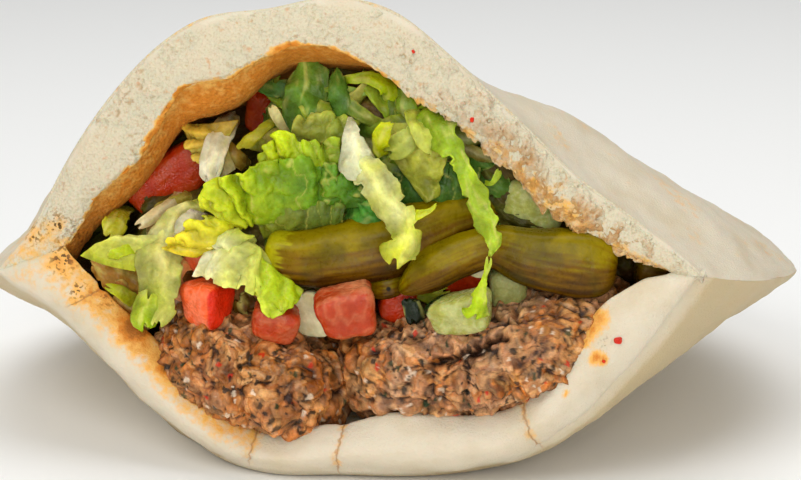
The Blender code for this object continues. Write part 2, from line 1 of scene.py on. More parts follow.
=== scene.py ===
"""Looks of a pita pocket stuffed with kofta, lettuce, pickled peppers and diced vegetables.

Every piece is worked out in the frame in which the part's source shapes it, in millimetres (mm): x runs
along the mouth of the pocket, y goes back into it and z is up. new_piece moves that to the row frame.
"""

import json
import logging
import math
from collections.abc import Sequence
from dataclasses import dataclass
from enum import Enum

import bpy
import numpy as np
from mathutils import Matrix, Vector
from numpy.linalg import norm

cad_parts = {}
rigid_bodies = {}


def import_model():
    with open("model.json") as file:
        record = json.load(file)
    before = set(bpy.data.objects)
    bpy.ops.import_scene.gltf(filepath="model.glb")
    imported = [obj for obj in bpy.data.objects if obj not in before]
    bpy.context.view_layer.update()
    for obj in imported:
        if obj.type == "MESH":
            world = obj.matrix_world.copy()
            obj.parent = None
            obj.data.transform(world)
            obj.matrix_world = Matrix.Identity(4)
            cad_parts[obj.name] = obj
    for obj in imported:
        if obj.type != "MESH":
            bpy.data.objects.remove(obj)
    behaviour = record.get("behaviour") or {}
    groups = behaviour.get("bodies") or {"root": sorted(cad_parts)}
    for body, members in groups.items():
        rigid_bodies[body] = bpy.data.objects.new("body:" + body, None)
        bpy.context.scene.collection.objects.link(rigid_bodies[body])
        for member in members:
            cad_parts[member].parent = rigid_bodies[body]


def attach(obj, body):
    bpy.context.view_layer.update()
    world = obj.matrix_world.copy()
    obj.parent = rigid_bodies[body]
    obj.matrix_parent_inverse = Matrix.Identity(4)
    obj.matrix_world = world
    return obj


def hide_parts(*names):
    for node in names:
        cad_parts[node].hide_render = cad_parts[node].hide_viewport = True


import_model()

LOG = logging.getLogger("stuffed_pita")
MM = 0.001
ORIGIN = np.array([-1.5, 63.55, 0.0])
IMAGE_WIDTH = 801

NOISE = "ShaderNodeTexNoise"
CELLS = "ShaderNodeTexVoronoi"
MIX = "ShaderNodeMix"
RANGE = "ShaderNodeMapRange"
MATH = "ShaderNodeMath"
ATTRIBUTE = "ShaderNodeAttribute"
BUMP = "ShaderNodeBump"
COORDINATES = "ShaderNodeTexCoord"

Array = np.ndarray
Points = Sequence[tuple[float, ...]]
Pair = tuple[float, float]
Place = tuple[float, float, float]
Material = bpy.types.Material
Socket = bpy.types.NodeSocket


# ---------------- numbers


def linear(colour: str) -> Array:
    """Turns an sRGB hex colour into linear light.

    Args:
        colour: such as "#D9CDB5".

    Returns:
        Red, green, blue and an alpha of 1.
    """
    share = np.array([int(colour[i:i + 2], 16) for i in (1, 3, 5)]) / 255.0
    light = np.where(share <= 0.04045, share / 12.92, ((share + 0.055) / 1.055) ** 2.4)
    return np.append(light, 1.0)


def ease(x: Array) -> Array:
    """A smooth step: 3x^2 - 2x^3, held at 0 below 0 and at 1 above 1."""
    x = np.clip(x, 0.0, 1.0)
    return x * x * (3.0 - 2.0 * x)


def bell(x: Array) -> Array:
    """The exponential of -x^2: 1 at 0, and near 0 from 2 on."""
    return np.exp(-(x**2))


def curve_through(points: Points, x: Array) -> Array:
    """A smooth curve z(x): cubic pieces between the points, whose slopes are those of the neighbours.

    Args:
        points: (x, z) in order of x.
        x: where it is wanted.

    Returns:
        z at each x.
    """
    px, pz = np.array(points, float).T
    slope = np.gradient(pz, px)
    i = np.clip(np.searchsorted(px, x) - 1, 0, len(px) - 2)
    h = px[i + 1] - px[i]
    t = np.clip((x - px[i]) / h, 0.0, 1.0)
    return ((2 * t**3 - 3 * t**2 + 1) * pz[i] + (t**3 - 2 * t**2 + t) * h * slope[i]
            + (3 * t**2 - 2 * t**3) * pz[i + 1] + (t**3 - t**2) * h * slope[i + 1])


def smooth_line(points: Points, t: Array) -> Array:
    """A smooth curve through points of any number of columns, by its share of length.

    Args:
        points: rows whose first three columns are a place.
        t: shares from 0 to 1.

    Returns:
        One row for each share.
    """
    rows = np.array(points, float)
    step = norm(np.diff(rows[:, :3], axis=0), axis=1)
    place = np.concatenate([[0.0], np.cumsum(step)]) / step.sum()
    return np.stack([curve_through(np.stack([place, c], axis=-1), t) for c in rows.T], axis=-1)


def places(*columns: Array | float) -> Array:
    """Points from their x, y and z, each a number or an array, spread over each other's shapes."""
    return np.stack(np.broadcast_arrays(*columns), axis=-1)


def hashed(cells: Array, seed: int) -> Array:
    """A number from 0 to 1 for each cell of a whole-number lattice, by mixing the bits of its place.

    Args:
        cells: whole numbers, with the place in the last axis.
        seed: gives another set of numbers.

    Returns:
        One number for each cell.
    """
    bits = cells.astype(np.int64) @ np.array([73856093, 19349663, 83492791]) + seed * 2654435761
    for _ in range(2):
        bits = ((bits ^ (bits >> 15)) * 1274126177) & 0xFFFFFFFF
    bits = bits ^ (bits >> 13)
    return (bits & 0xFFFFFF) / float(0xFFFFFF)


def lumps(points: Array, size: float, seed: int = 0) -> Array:
    """Smooth noise from about -1 to 1: slopes drawn for the corners of a lattice, blended between them.

    Args:
        points: places in mm.
        size: width of a lump in mm.
        seed: gives another pattern.

    Returns:
        The noise at each point.
    """
    place = points / size + seed * 7.31
    cell = np.floor(place)
    inside = place - cell
    fade = inside**3 * (inside * (inside * 6 - 15) + 10)
    total = np.zeros(points.shape[:-1])
    for corner in np.ndindex(2, 2, 2):
        at = cell + corner
        slope = places(*(hashed(at, seed + k) for k in (11, 23, 37))) * 2 - 1
        weight = np.prod(np.where(np.array(corner) == 1, fade, 1 - fade), axis=-1)
        total += weight * np.einsum("...i,...i->...", slope, inside - corner)
    return total * 1.6


# Of the noises below, size is the width of the largest lumps in mm, seed gives another pattern, and octaves
# says how many sizes are summed, each half as wide and half as high as the one before.


def fractal(points: Array, size: float, seed: int = 0, octaves: int = 3) -> Array:
    """Noise at each point, summed over octaves."""
    return sum(lumps(points, size / 2**k, seed + 5 * k) / 2**k for k in range(octaves))


def billow(points: Array, size: float, seed: int = 0, octaves: int = 1) -> Array:
    """The absolute value of noise: lumps of about 0.6 that part in sharp creases of 0."""
    return sum(np.abs(lumps(points, size / 2**k, seed + 5 * k)) / 2**k for k in range(octaves))


def warped(points: Array, size: float, reach: float, seed: int) -> Array:
    """The points moved by noise that reaches so far in mm, which makes a pattern read there crooked."""
    return points + reach * places(*(fractal(points, size, seed + k, 2) for k in (1, 2, 3)))


def mixed(first: Array, second: Array, share: Array) -> Array:
    """The first colour where the share is 0, the second where it is 1, and a blend between them."""
    share = np.clip(share, 0.0, 1.0)[..., None]
    return first * (1 - share) + second * share


def drawn(colours: list[str], chance: Array) -> Array:
    """One of the colours for each chance from 0 to 1, each as likely as the others."""
    table = np.array([*map(linear, colours)])
    return table[np.clip((chance * len(colours)).astype(int), 0, len(colours) - 1)]


def near_line(points: Array, start: Pair, end: Pair) -> Array:
    """Distance of points from a stretch of line, both seen from in front, in x and z.

    Args:
        points: places in mm.
        start: the (x, z) of one end.
        end: the (x, z) of the other.

    Returns:
        The distance in mm.
    """
    flat = points[..., [0, 2]]
    run = np.array(end) - start
    share = np.clip((flat - start) @ run / (run @ run), 0.0, 1.0)
    return norm(flat - start - share[..., None] * run, axis=-1)


def beside_line(points: Array, start: Pair, end: Pair) -> Array:
    """How far points lie to one side of a line, seen from in front, and below 0 on its other side."""
    run = np.array(end) - start
    return ((points[..., 2] - start[1]) * run[0] - (points[..., 0] - start[0]) * run[1]) / norm(run)


def spotted(points: Array, spots: list[tuple[float, ...]]) -> Array:
    """Round spots seen from in front: the sum of one bell for each (x, z, radius, amount)."""
    x, z = points[..., 0], points[..., 2]
    return sum(amount * np.exp(-((x - x0) ** 2 + (z - z0) ** 2) / radius**2)
               for x0, z0, radius, amount in spots)


def grains(points: Array, size: float, seed: int = 0) -> tuple[Array, Array, Array]:
    """Distances to the nearest two of one point scattered in each cell of a lattice.

    Args:
        points: places in mm.
        size: spacing of the grains in mm.
        seed: gives another pattern.

    Returns:
        The nearest distance and the next, in spacings, and a number from 0 to 1 for the nearest grain.
    """
    place = points / size + seed * 3.17
    cell = np.floor(place)
    first = np.full(points.shape[:-1], 9.0)
    second = first.copy()
    name = np.zeros_like(first)
    for corner in np.ndindex(3, 3, 3):
        at = cell + np.array(corner) - 1
        centre = at + places(*(hashed(at, seed + k) for k in (3, 5, 7)))
        distance = norm(place - centre, axis=-1)
        second = np.minimum(second, np.maximum(first, distance))
        name = np.where(distance < first, hashed(at, seed + 13), name)
        first = np.minimum(first, distance)
    return first, second, name


# ---------------- surfaces


def closed_rings(rings: Array) -> tuple[Array, list[Array]]:
    """A closed surface over rings of points, with a point in the middle of each end ring.

    Args:
        rings: points by ring and column.

    Returns:
        The points, and the faces as arrays of four and of three corners.
    """
    rows, columns = rings.shape[:2]
    ends = np.stack([rings[0].mean(axis=0), rings[-1].mean(axis=0)])
    index = np.arange(rows * columns).reshape(rows, columns)
    after = np.roll(index, -1, axis=1)
    side = np.stack([index[:-1], after[:-1], after[1:], index[1:]], axis=-1).reshape(-1, 4)
    pole = np.full(columns, rows * columns)
    caps = np.concatenate([np.stack([pole, after[0], index[0]], axis=-1),
                           np.stack([pole + 1, index[-1], after[-1]], axis=-1)])
    return np.concatenate([rings.reshape(-1, 3), ends]), [side, caps]


def closed_sheet(front: Array, back: Array) -> tuple[Array, list[Array]]:
    """A closed surface over a front and a back grid of points, joined by a rim.

    Args:
        front: points by row and column.
        back: the same grid, behind it.

    Returns:
        The points, and the faces as arrays of corners.
    """
    rows, columns = front.shape[:2]
    index = np.arange(rows * columns).reshape(rows, columns)
    face = np.stack([index[:-1, :-1], index[:-1, 1:], index[1:, 1:], index[1:, :-1]], axis=-1).reshape(-1, 4)
    rim = np.concatenate([index[0, :-1], index[:-1, -1], index[-1, :0:-1], index[:0:-1, 0]])
    after = np.roll(rim, -1)
    behind = rows * columns
    wall = np.stack([after, rim, rim + behind, after + behind], axis=-1)
    points = np.concatenate([front.reshape(-1, 3), back.reshape(-1, 3)])
    return points, [face, face[:, ::-1] + behind, wall]


def grid_normals(grid: Array, wraps: bool) -> Array:
    """Unit normals of a grid of points: the cross product of its steps across and along.

    Args:
        grid: points by row and column.
        wraps: whether the last column joins the first.

    Returns:
        A normal at each point.
    """
    along = np.gradient(grid, axis=0)
    if wraps:
        around = np.roll(grid, -1, axis=1) - np.roll(grid, 1, axis=1)
    else:
        around = np.gradient(grid, axis=1)
    normal = np.cross(around, along)
    length = norm(normal, axis=-1, keepdims=True)
    return normal / np.maximum(length, 1e-9)


def outward(points: Array, faces: list[Array]) -> list[Array]:
    """The faces, all turned over if the volume that they enclose comes out negative.

    Args:
        points: the corners.
        faces: arrays of corner indices.

    Returns:
        The faces, seen from outside in the order that makes them point outwards.
    """
    middle = points.mean(axis=0)
    volume = 0.0
    for group in faces:
        corner = points[group] - middle
        for k in range(1, group.shape[1] - 1):
            cross = np.cross(corner[:, k], corner[:, k + 1])
            volume += np.einsum("ij,ij->", corner[:, 0], cross)
    return faces if volume > 0 else [group[:, ::-1] for group in faces]


@dataclass
class Shape:
    """A closed surface in mm, with what its material reads at each point.

    Attributes:
        points: the corners.
        faces: arrays of corner indices, one for each number of corners.
        fields: a linear colour or a number for each point, by name.
    """

    points: Array
    faces: list[Array]
    fields: dict[str, Array]

    @staticmethod
    def joined(shapes: list["Shape"]) -> "Shape":
        """Several shapes as one.

        Args:
            shapes: all with the same fields.

        Returns:
            Their corners and faces, one shape's after another's.
        """
        starts = np.cumsum([0] + [len(shape.points) for shape in shapes])
        faces = [group + start for shape, start in zip(shapes, starts) for group in shape.faces]
        return Shape(np.concatenate([shape.points for shape in shapes]), faces,
                     {key: np.concatenate([s.fields[key] for s in shapes]) for key in shapes[0].fields})


def with_poles(values: Array) -> Array:
    """Numbers on rings as one list, with the mean of each end ring added for its pole."""
    ends = np.stack([values[0].mean(axis=0), values[-1].mean(axis=0)])
    return np.concatenate([values.reshape(-1, *values.shape[2:]), ends])


def ring_shape(rings: Array, **fields: Array) -> Shape:
    """A closed shape over rings of points, with the fields that are given at each point."""
    points, faces = closed_rings(rings)
    return Shape(points, outward(points, faces), {key: with_poles(value) for key, value in fields.items()})


def sheet_shape(surface: Array, offset: Array, tint: Array) -> Shape:
    """A closed shape that reaches by an offset to both sides of a surface, each point with its colour."""
    points, faces = closed_sheet(surface + offset, surface - offset)
    return Shape(points, outward(points, faces), {"tint": np.concatenate([tint, tint])})


def new_piece(name: str, shape: Shape, material: Material,
              nodes: tuple[str, ...] = ()) -> bpy.types.Object:
    """Adds a piece of the sandwich, with its place in its mesh.

    Args:
        name: the piece's name.
        shape: its surface.
        material: its finish.
        nodes: the CAD nodes that it stands for.

    Returns:
        The object.
    """
    mesh = bpy.data.meshes.new(name)
    sizes = np.concatenate([np.full(len(group), group.shape[1]) for group in shape.faces])
    corners = np.concatenate([group.reshape(-1) for group in shape.faces])
    mesh.vertices.add(len(shape.points))
    mesh.vertices.foreach_set("co", ((shape.points - ORIGIN) * MM).astype(np.float32).ravel())
    mesh.loops.add(len(corners))
    mesh.loops.foreach_set("vertex_index", corners.astype(np.int32))
    mesh.polygons.add(len(sizes))
    mesh.polygons.foreach_set("loop_start", np.concatenate([[0], np.cumsum(sizes)[:-1]]).astype(np.int32))
    mesh.polygons.foreach_set("use_smooth", np.ones(len(sizes), bool))
    for key, values in shape.fields.items():
        kind, role = ("FLOAT_COLOR", "color") if values.ndim == 2 else ("FLOAT", "value")
        layer = mesh.attributes.new(key, kind, "POINT")
        layer.data.foreach_set(role, values.astype(np.float32).ravel())
    mesh.update(calc_edges=True)
    mesh.validate()
    mesh.materials.append(material)
    piece = bpy.data.objects.new(name, mesh)
    bpy.context.scene.collection.objects.link(piece)
    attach(piece, "root")
    if nodes:
        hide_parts(*nodes)
    LOG.info("%s: %d faces, %s", name, len(sizes), ", ".join(nodes) or "no node")
    return piece


# ---------------- materials


class Surface:
    """A material under construction, whose nodes are all added by one method."""

    def __init__(self, name: str, **values: float) -> None:
        """Starts the material.

        Args:
            name: its name.
            values: numbers on the shader's own sockets, with _ for a space in the socket's name.
        """
        self.material = bpy.data.materials.new(name)
        self.material.use_nodes = True
        self.tree = self.material.node_tree
        self.shader = self.tree.nodes["Principled BSDF"]
        for key, value in values.items():
            self.shader.inputs[key.replace("_", " ")].default_value = value
        self.place = self.add(COORDINATES, {}, {}, "Object")

    def add(self, kind: str, settings: dict, inputs: dict, output: int | str = 0) -> Socket:
        """Adds a node with its settings and links.

        Args:
            kind: the node's type.
            settings: its properties.
            inputs: a number or a socket for each of its inputs, by name or number.
            output: which of its outputs is wanted.

        Returns:
            That output.
        """
        node = self.tree.nodes.new(kind)
        for key, value in settings.items():
            setattr(node, key, value)
        for key, value in inputs.items():
            if isinstance(value, Socket):
                self.tree.links.new(value, node.inputs[key])
            else:
                node.inputs[key].default_value = value
        return node.outputs[output]

    def finish(self, **inputs: Socket) -> Material:
        """Ends the material.

        Args:
            inputs: what is linked to the shader's sockets, with _ for a space in the socket's name.

        Returns:
            The material.
        """
        for key, socket in inputs.items():
            self.tree.links.new(socket, self.shader.inputs[key.replace("_", " ")])
        return self.material


def per_metre(size: float) -> float:
    """The scale of a pattern whose features are this many millimetres wide."""
    return 1.0 / (size * MM)


@dataclass(frozen=True)
class BreadFinish:
    """Wheat bread, baked: a satin cream skin, an open crumb, toasted at its edges.

    The skin scatters light softly under a thin dry gloss; the crumb is matt and full of small holes.
    """

    skin: str = "#D6CAB2"
    # Blotches of the skin, and painted shade on its underside.
    skin_shade: str = "#C2AE86"
    crumb: str = "#D2C6AA"
    crumb_shade: str = "#B0946A"
    freckle: str = "#C8905C"
    # These three browns tint the toasted bread, and also paint the warm light and shade inside the pocket.
    gold: str = "#EBB25A"
    toast: str = "#D28024"
    deep_toast: str = "#A4601A"
    char: str = "#2A170C"
    # Painted shade in the cracks along the lower lip's creases.
    crack: str = "#B07C48"
    # Painted shade in the crumb's pores, and toasted specks on its baked band.
    pit: str = "#AC7A3C"
    blotch_size: float = 9.0
    toast_size: float = 1.8
    freckle_size: float = 1.6
    crack_bend: float = 1.5
    char_size: float = 0.9
    pore_size: float = 0.8
    grain_size: float = 0.45

    def material(self) -> Material:
        """Builds it: skin and crumb by attribute, then toasting, char, cracks and painted light and shade
        over both.

        Returns:
            The material.
        """
        s = Surface("bread_baked_wheat", Roughness=0.62, IOR=1.45, Subsurface_Weight=0.18,
                    Subsurface_Scale=0.004, Specular_IOR_Level=0.35)
        crumb, toast, char, pit, flank, beside, cracked = (
            s.add(ATTRIBUTE, {"attribute_name": name}, {}, "Fac")
            for name in ("crumb", "toast", "char", "pit", "flank", "crack_side", "crack"))
        blotch, fine, speck, spots, dots = (
            s.add(NOISE, {}, {"Vector": s.place, "Scale": per_metre(size), "Detail": detail})
            for size, detail in ((self.blotch_size, 4.0), (self.grain_size, 3.0), (self.freckle_size, 2.0),
                                 (self.crack_bend, 3.0), (self.char_size, 1.5)))
        pores = s.add(CELLS, {}, {"Vector": s.place, "Scale": per_metre(self.pore_size)}, "Distance")
        # The skin's blotches, and painted shade over the underside of the bread.
        shaded = s.add(MATH, {"operation": "MULTIPLY_ADD", "use_clamp": True}, {
            0: s.add(RANGE, {}, {"Value": blotch, "From Min": 0.45, "From Max": 0.75}), 1: 0.5, 2: flank})
        shade = s.add(RANGE, {}, {"Value": fine, "From Min": 0.5, "From Max": 0.75, "To Max": 0.5})
        freckled = s.add(RANGE, {}, {"Value": speck, "From Min": 0.62, "From Max": 0.76, "To Max": 0.55})
        patch = s.add(NOISE, {}, {"Vector": s.place, "Scale": per_metre(self.toast_size), "Detail": 5.0,
                                  "Roughness": 0.6})
        # The toasting attribute also carries painted light and shade: golden-brown on the pocket's wall and
        # the roof's inner edge at the left, and darker along the lip's creases.
        ragged = s.add(MATH, {"operation": "MULTIPLY_ADD"}, {0: patch, 1: 1.1, 2: -0.55})
        heat = s.add(MATH, {"operation": "ADD"}, {0: toast, 1: ragged})
        some_toast = s.add(RANGE, {}, {"Value": toast, "From Min": 0.02, "From Max": 0.15})
        browned = [(s.add(MATH, {"operation": "MULTIPLY"}, {
            0: s.add(RANGE, {}, {"Value": heat, "From Min": start, "From Max": end}), 1: some_toast}), colour)
            for colour, start, end in ((self.gold, 0.08, 0.42), (self.toast, 0.42, 0.78),
                                       (self.deep_toast, 0.84, 1.2))]
        # Painted shade in the crumb's pores, and toasted specks on the baked band.
        pitted = s.add(MATH, {"operation": "MULTIPLY"}, {0: pit, 1: 0.8})
        burnt = s.add(MATH, {"operation": "MULTIPLY"}, {
            0: s.add(RANGE, {}, {"Value": dots, "From Min": 0.56, "From Max": 0.60}), 1: char})
        # Painted shade: a darker crooked line in each crack along the lower lip's creases, which the bump
        # also sinks.
        crooked = s.add(MATH, {"operation": "ABSOLUTE"}, {
            0: s.add(MATH, {"operation": "MULTIPLY_ADD"}, {0: spots, 1: 1.6, 2: s.add(
                MATH, {"operation": "SUBTRACT"}, {0: beside, 1: 0.8})})})
        crack = s.add(MATH, {"operation": "MULTIPLY"}, {
            0: s.add(RANGE, {}, {"Value": crooked, "From Min": 0.0, "From Max": 0.36, "To Min": 0.8,
                                 "To Max": 0.0}), 1: cracked})
        skin = s.add(MIX, {"data_type": "RGBA"}, {0: shaded, 6: linear(self.skin),
                                                  7: linear(self.skin_shade)}, 2)
        colour = linear(self.crumb)
        for share, over in ((shade, self.crumb_shade), (freckled, self.freckle)):
            colour = s.add(MIX, {"data_type": "RGBA"}, {0: share, 6: colour, 7: linear(over)}, 2)
        colour = s.add(MIX, {"data_type": "RGBA"}, {0: crumb, 6: skin, 7: colour}, 2)
        for share, over in (*browned, (pitted, self.pit), (burnt, self.char), (crack, self.crack)):
            colour = s.add(MIX, {"data_type": "RGBA"}, {0: share, 6: colour, 7: linear(over)}, 2)
        holes = s.add(MATH, {"operation": "MULTIPLY_ADD"}, {0: pores, 1: crumb, 2: s.add(
            MATH, {"operation": "MULTIPLY"}, {0: crack, 1: -0.7})})
        height = s.add(MATH, {"operation": "MULTIPLY_ADD"}, {0: fine, 1: 0.7, 2: holes})
        bump = s.add(BUMP, {}, {"Height": height, "Strength": 0.55, "Distance": 0.0006})
        roughness = s.add(RANGE, {}, {"Value": crumb, "To Min": 0.52, "To Max": 0.85})
        return s.finish(Base_Color=colour, Normal=bump, Roughness=roughness)


@dataclass(frozen=True)
class TintedFinish:
    """A moist vegetable whose colour comes with its shape, mottled and grained as its cut shows.

    Attributes:
        name: the material's name.
        mottle, mottle_size: how far the colour varies, as a share, and in blotches of how many mm.
        grain_size, relief: width and height of the grain in mm.
        roughness: of its wet film.
        gloss: level of its reflection, where 0.5 is that of its index of refraction.
        scatter, scatter_size: how much light it lets through, and how far in mm.
        vein, vein_size: how pale its veins are, and the width of the fields between them in mm.
    """

    name: str
    mottle: float = 0.25
    mottle_size: float = 3.0
    grain_size: float = 0.5
    relief: float = 0.15
    roughness: float = 0.28
    gloss: float = 0.4
    scatter: float = 0.25
    scatter_size: float = 2.0
    vein: float = 0.0
    vein_size: float = 3.0

    def material(self) -> Material:
        """Builds it: the shape's own tint, times a mottle, under a wet film broken by the grain.

        Returns:
            The material.
        """
        s = Surface(self.name, Roughness=self.roughness, IOR=1.38, Subsurface_Weight=self.scatter,
                    Subsurface_Scale=self.scatter_size * MM, Specular_IOR_Level=self.gloss)
        tint = s.add(ATTRIBUTE, {"attribute_name": "tint"}, {}, "Color")
        blotch, grain = (
            s.add(NOISE, {}, {"Vector": s.place, "Scale": per_metre(size), "Detail": detail})
            for size, detail in ((self.mottle_size, 4.0), (self.grain_size, 3.0)))
        value, fine = (
            s.add(RANGE, {}, {"Value": noise, "From Min": 0.3, "From Max": 0.7, "To Min": 1 - amount,
                              "To Max": 1 + amount})
            for noise, amount in ((blotch, self.mottle), (grain, self.mottle / 2)))
        both = s.add(MATH, {"operation": "MULTIPLY"}, {0: value, 1: fine})
        colour = s.add("ShaderNodeVectorMath", {"operation": "SCALE"}, {0: tint, "Scale": both})
        if self.vein > 0:
            bend = s.add(NOISE, {}, {"Vector": s.place, "Scale": per_metre(2.5), "Detail": 3.0}, "Color")
            bent = s.add("ShaderNodeVectorMath", {"operation": "MULTIPLY_ADD"}, {
                0: bend, 1: (0.004, 0.004, 0.004), 2: s.place})
            away = s.add(CELLS, {"feature": "DISTANCE_TO_EDGE"}, {
                "Vector": bent, "Scale": per_metre(self.vein_size)}, "Distance")
            vein = s.add(RANGE, {}, {"Value": away, "From Min": 0.0, "From Max": 0.12, "To Min": self.vein,
                                     "To Max": 0.0})
            lighter = s.add(MATH, {"operation": "ADD"}, {0: vein, 1: 1.0})
            colour = s.add("ShaderNodeVectorMath", {"operation": "SCALE"}, {0: colour, "Scale": lighter})
            grain = s.add(MATH, {"operation": "MULTIPLY_ADD"}, {0: vein, 1: -1.0, 2: grain})
        bump = s.add(BUMP, {}, {"Height": grain, "Strength": 0.5, "Distance": self.relief * MM * 4})
        rough = s.add(RANGE, {}, {"Value": grain, "From Min": 0.3, "From Max": 0.7,
                                  "To Min": self.roughness * 0.75, "To Max": self.roughness * 1.35})
        return s.finish(Base_Color=colour, Normal=bump, Roughness=rough)


FINISHES = {
    # Grilled mince: a thin film of fat that glints on each browned crumb.
    "meat": TintedFinish("minced_meat_grilled", mottle=0.22, mottle_size=1.4, grain_size=0.4,
                         relief=0.12, roughness=0.32, scatter=0.1, scatter_size=1.5),
    # Pickled pepper: a tough smooth skin under brine, with a broad soft gleam.
    "pickled_pepper": TintedFinish("pepper_pickled", mottle=0.2, mottle_size=5.0, grain_size=0.9,
                                   relief=0.05, roughness=0.3, gloss=0.22, scatter=0.06,
                                   scatter_size=1.5),
    # Cut tomato: the wettest of all, with sharp glints, and light that comes back red from within.
    "tomato": TintedFinish("tomato_diced", mottle=0.14, mottle_size=2.6, grain_size=0.6, relief=0.14,
                           roughness=0.17, gloss=0.55, scatter=0.25, scatter_size=2.0),
    # Cut cucumber: watery and cloudy, with a fine wet grain.
    "cucumber": TintedFinish("cucumber_diced", mottle=0.16, mottle_size=2.4, grain_size=0.7,
                             relief=0.1, roughness=0.25, scatter=0.35, scatter_size=2.5),
    # Raw onion: pale, nearly clear layers.
    "onion": TintedFinish("onion_chopped", mottle=0.12, mottle_size=2.5, grain_size=0.8, relief=0.08,
                          roughness=0.22, scatter=0.4, scatter_size=2.5),
    # Fried onion: patchy brown, dull where the oil has dried.
    "fried_piece": TintedFinish("onion_fried", mottle=0.35, mottle_size=1.8, grain_size=0.6,
                                relief=0.15, roughness=0.35, scatter=0.2, scatter_size=1.5),
    # Shredded lettuce: thin wet leaf that glows where light falls through it, with pale veins.
    "lettuce": TintedFinish("lettuce_shredded_wet", mottle=0.16, mottle_size=4.0, grain_size=0.8,
                            relief=0.08, roughness=0.3, gloss=0.3, scatter=0.22, scatter_size=0.7,
                            vein=0.14, vein_size=4.0),
    # Leaves pressed into the pocket: dark with painted shade, patchy and duller.
    "leaves_in_painted_shade": TintedFinish("salad_pressed_leaves", mottle=0.45, mottle_size=5.0,
                                   grain_size=1.2, relief=0.3, roughness=0.45, scatter=0.1,
                                   scatter_size=1.5),
}


# ---------------- bread


# Toasted spots of the mouth, and burnt ones, most at its left corner: x, z, radius and amount.
TOAST_SPOTS = [(-54, 37.5, 6.5, 0.22), (-58.5, 41.5, 4, 0.24), (-49.5, 34, 4.5, 0.22), (-44.5, 29, 3, 0.3),
               (-42.5, 28, 1.8, 0.5), (-36, 21.5, 1.7, 0.6), (-29.5, 18.5, 1.5, 0.6), (-27.5, 14.5, 0.7, 0.4),
               (-20.5, 10.5, 0.7, 0.4),
               (51.5, 35.5, 2.2, 0.6), (50, 33, 1.4, 0.7), (48.5, 30.5, 1.1, 0.8), (51, 28, 1.2, 0.85),
               (53, 27.5, 1.0, 0.7), (45.5, 20.5, 0.7, 0.6), (-45, 28.5, 2.4, 0.4), (-37, 21.5, 1.6, 0.5),
               (-31, 18, 1.6, 0.5), (-28, 14.5, 0.8, 0.5)]
CHAR_SPOTS = [(-61.5, 48.5, 2.6, 0.9), (-60.5, 41.5, 2.6, 0.95), (-67, 46, 2.0, 0.8), (-56.5, 36, 1.6, 0.9),
              (-50, 34.5, 1.6, 0.6), (53, 31, 1.2, 0.4)]
# Creases across the lower lip: (x, z) of both ends.
LIP_CREASES = [((-17.3, 11.7), (-18.7, 3.8)), ((0.5, 15.7), (-0.4, 2.7)), ((35.2, 20.2), (40.3, 8.6)),
               ((-57, 33.5), (-49.5, 37.5))]


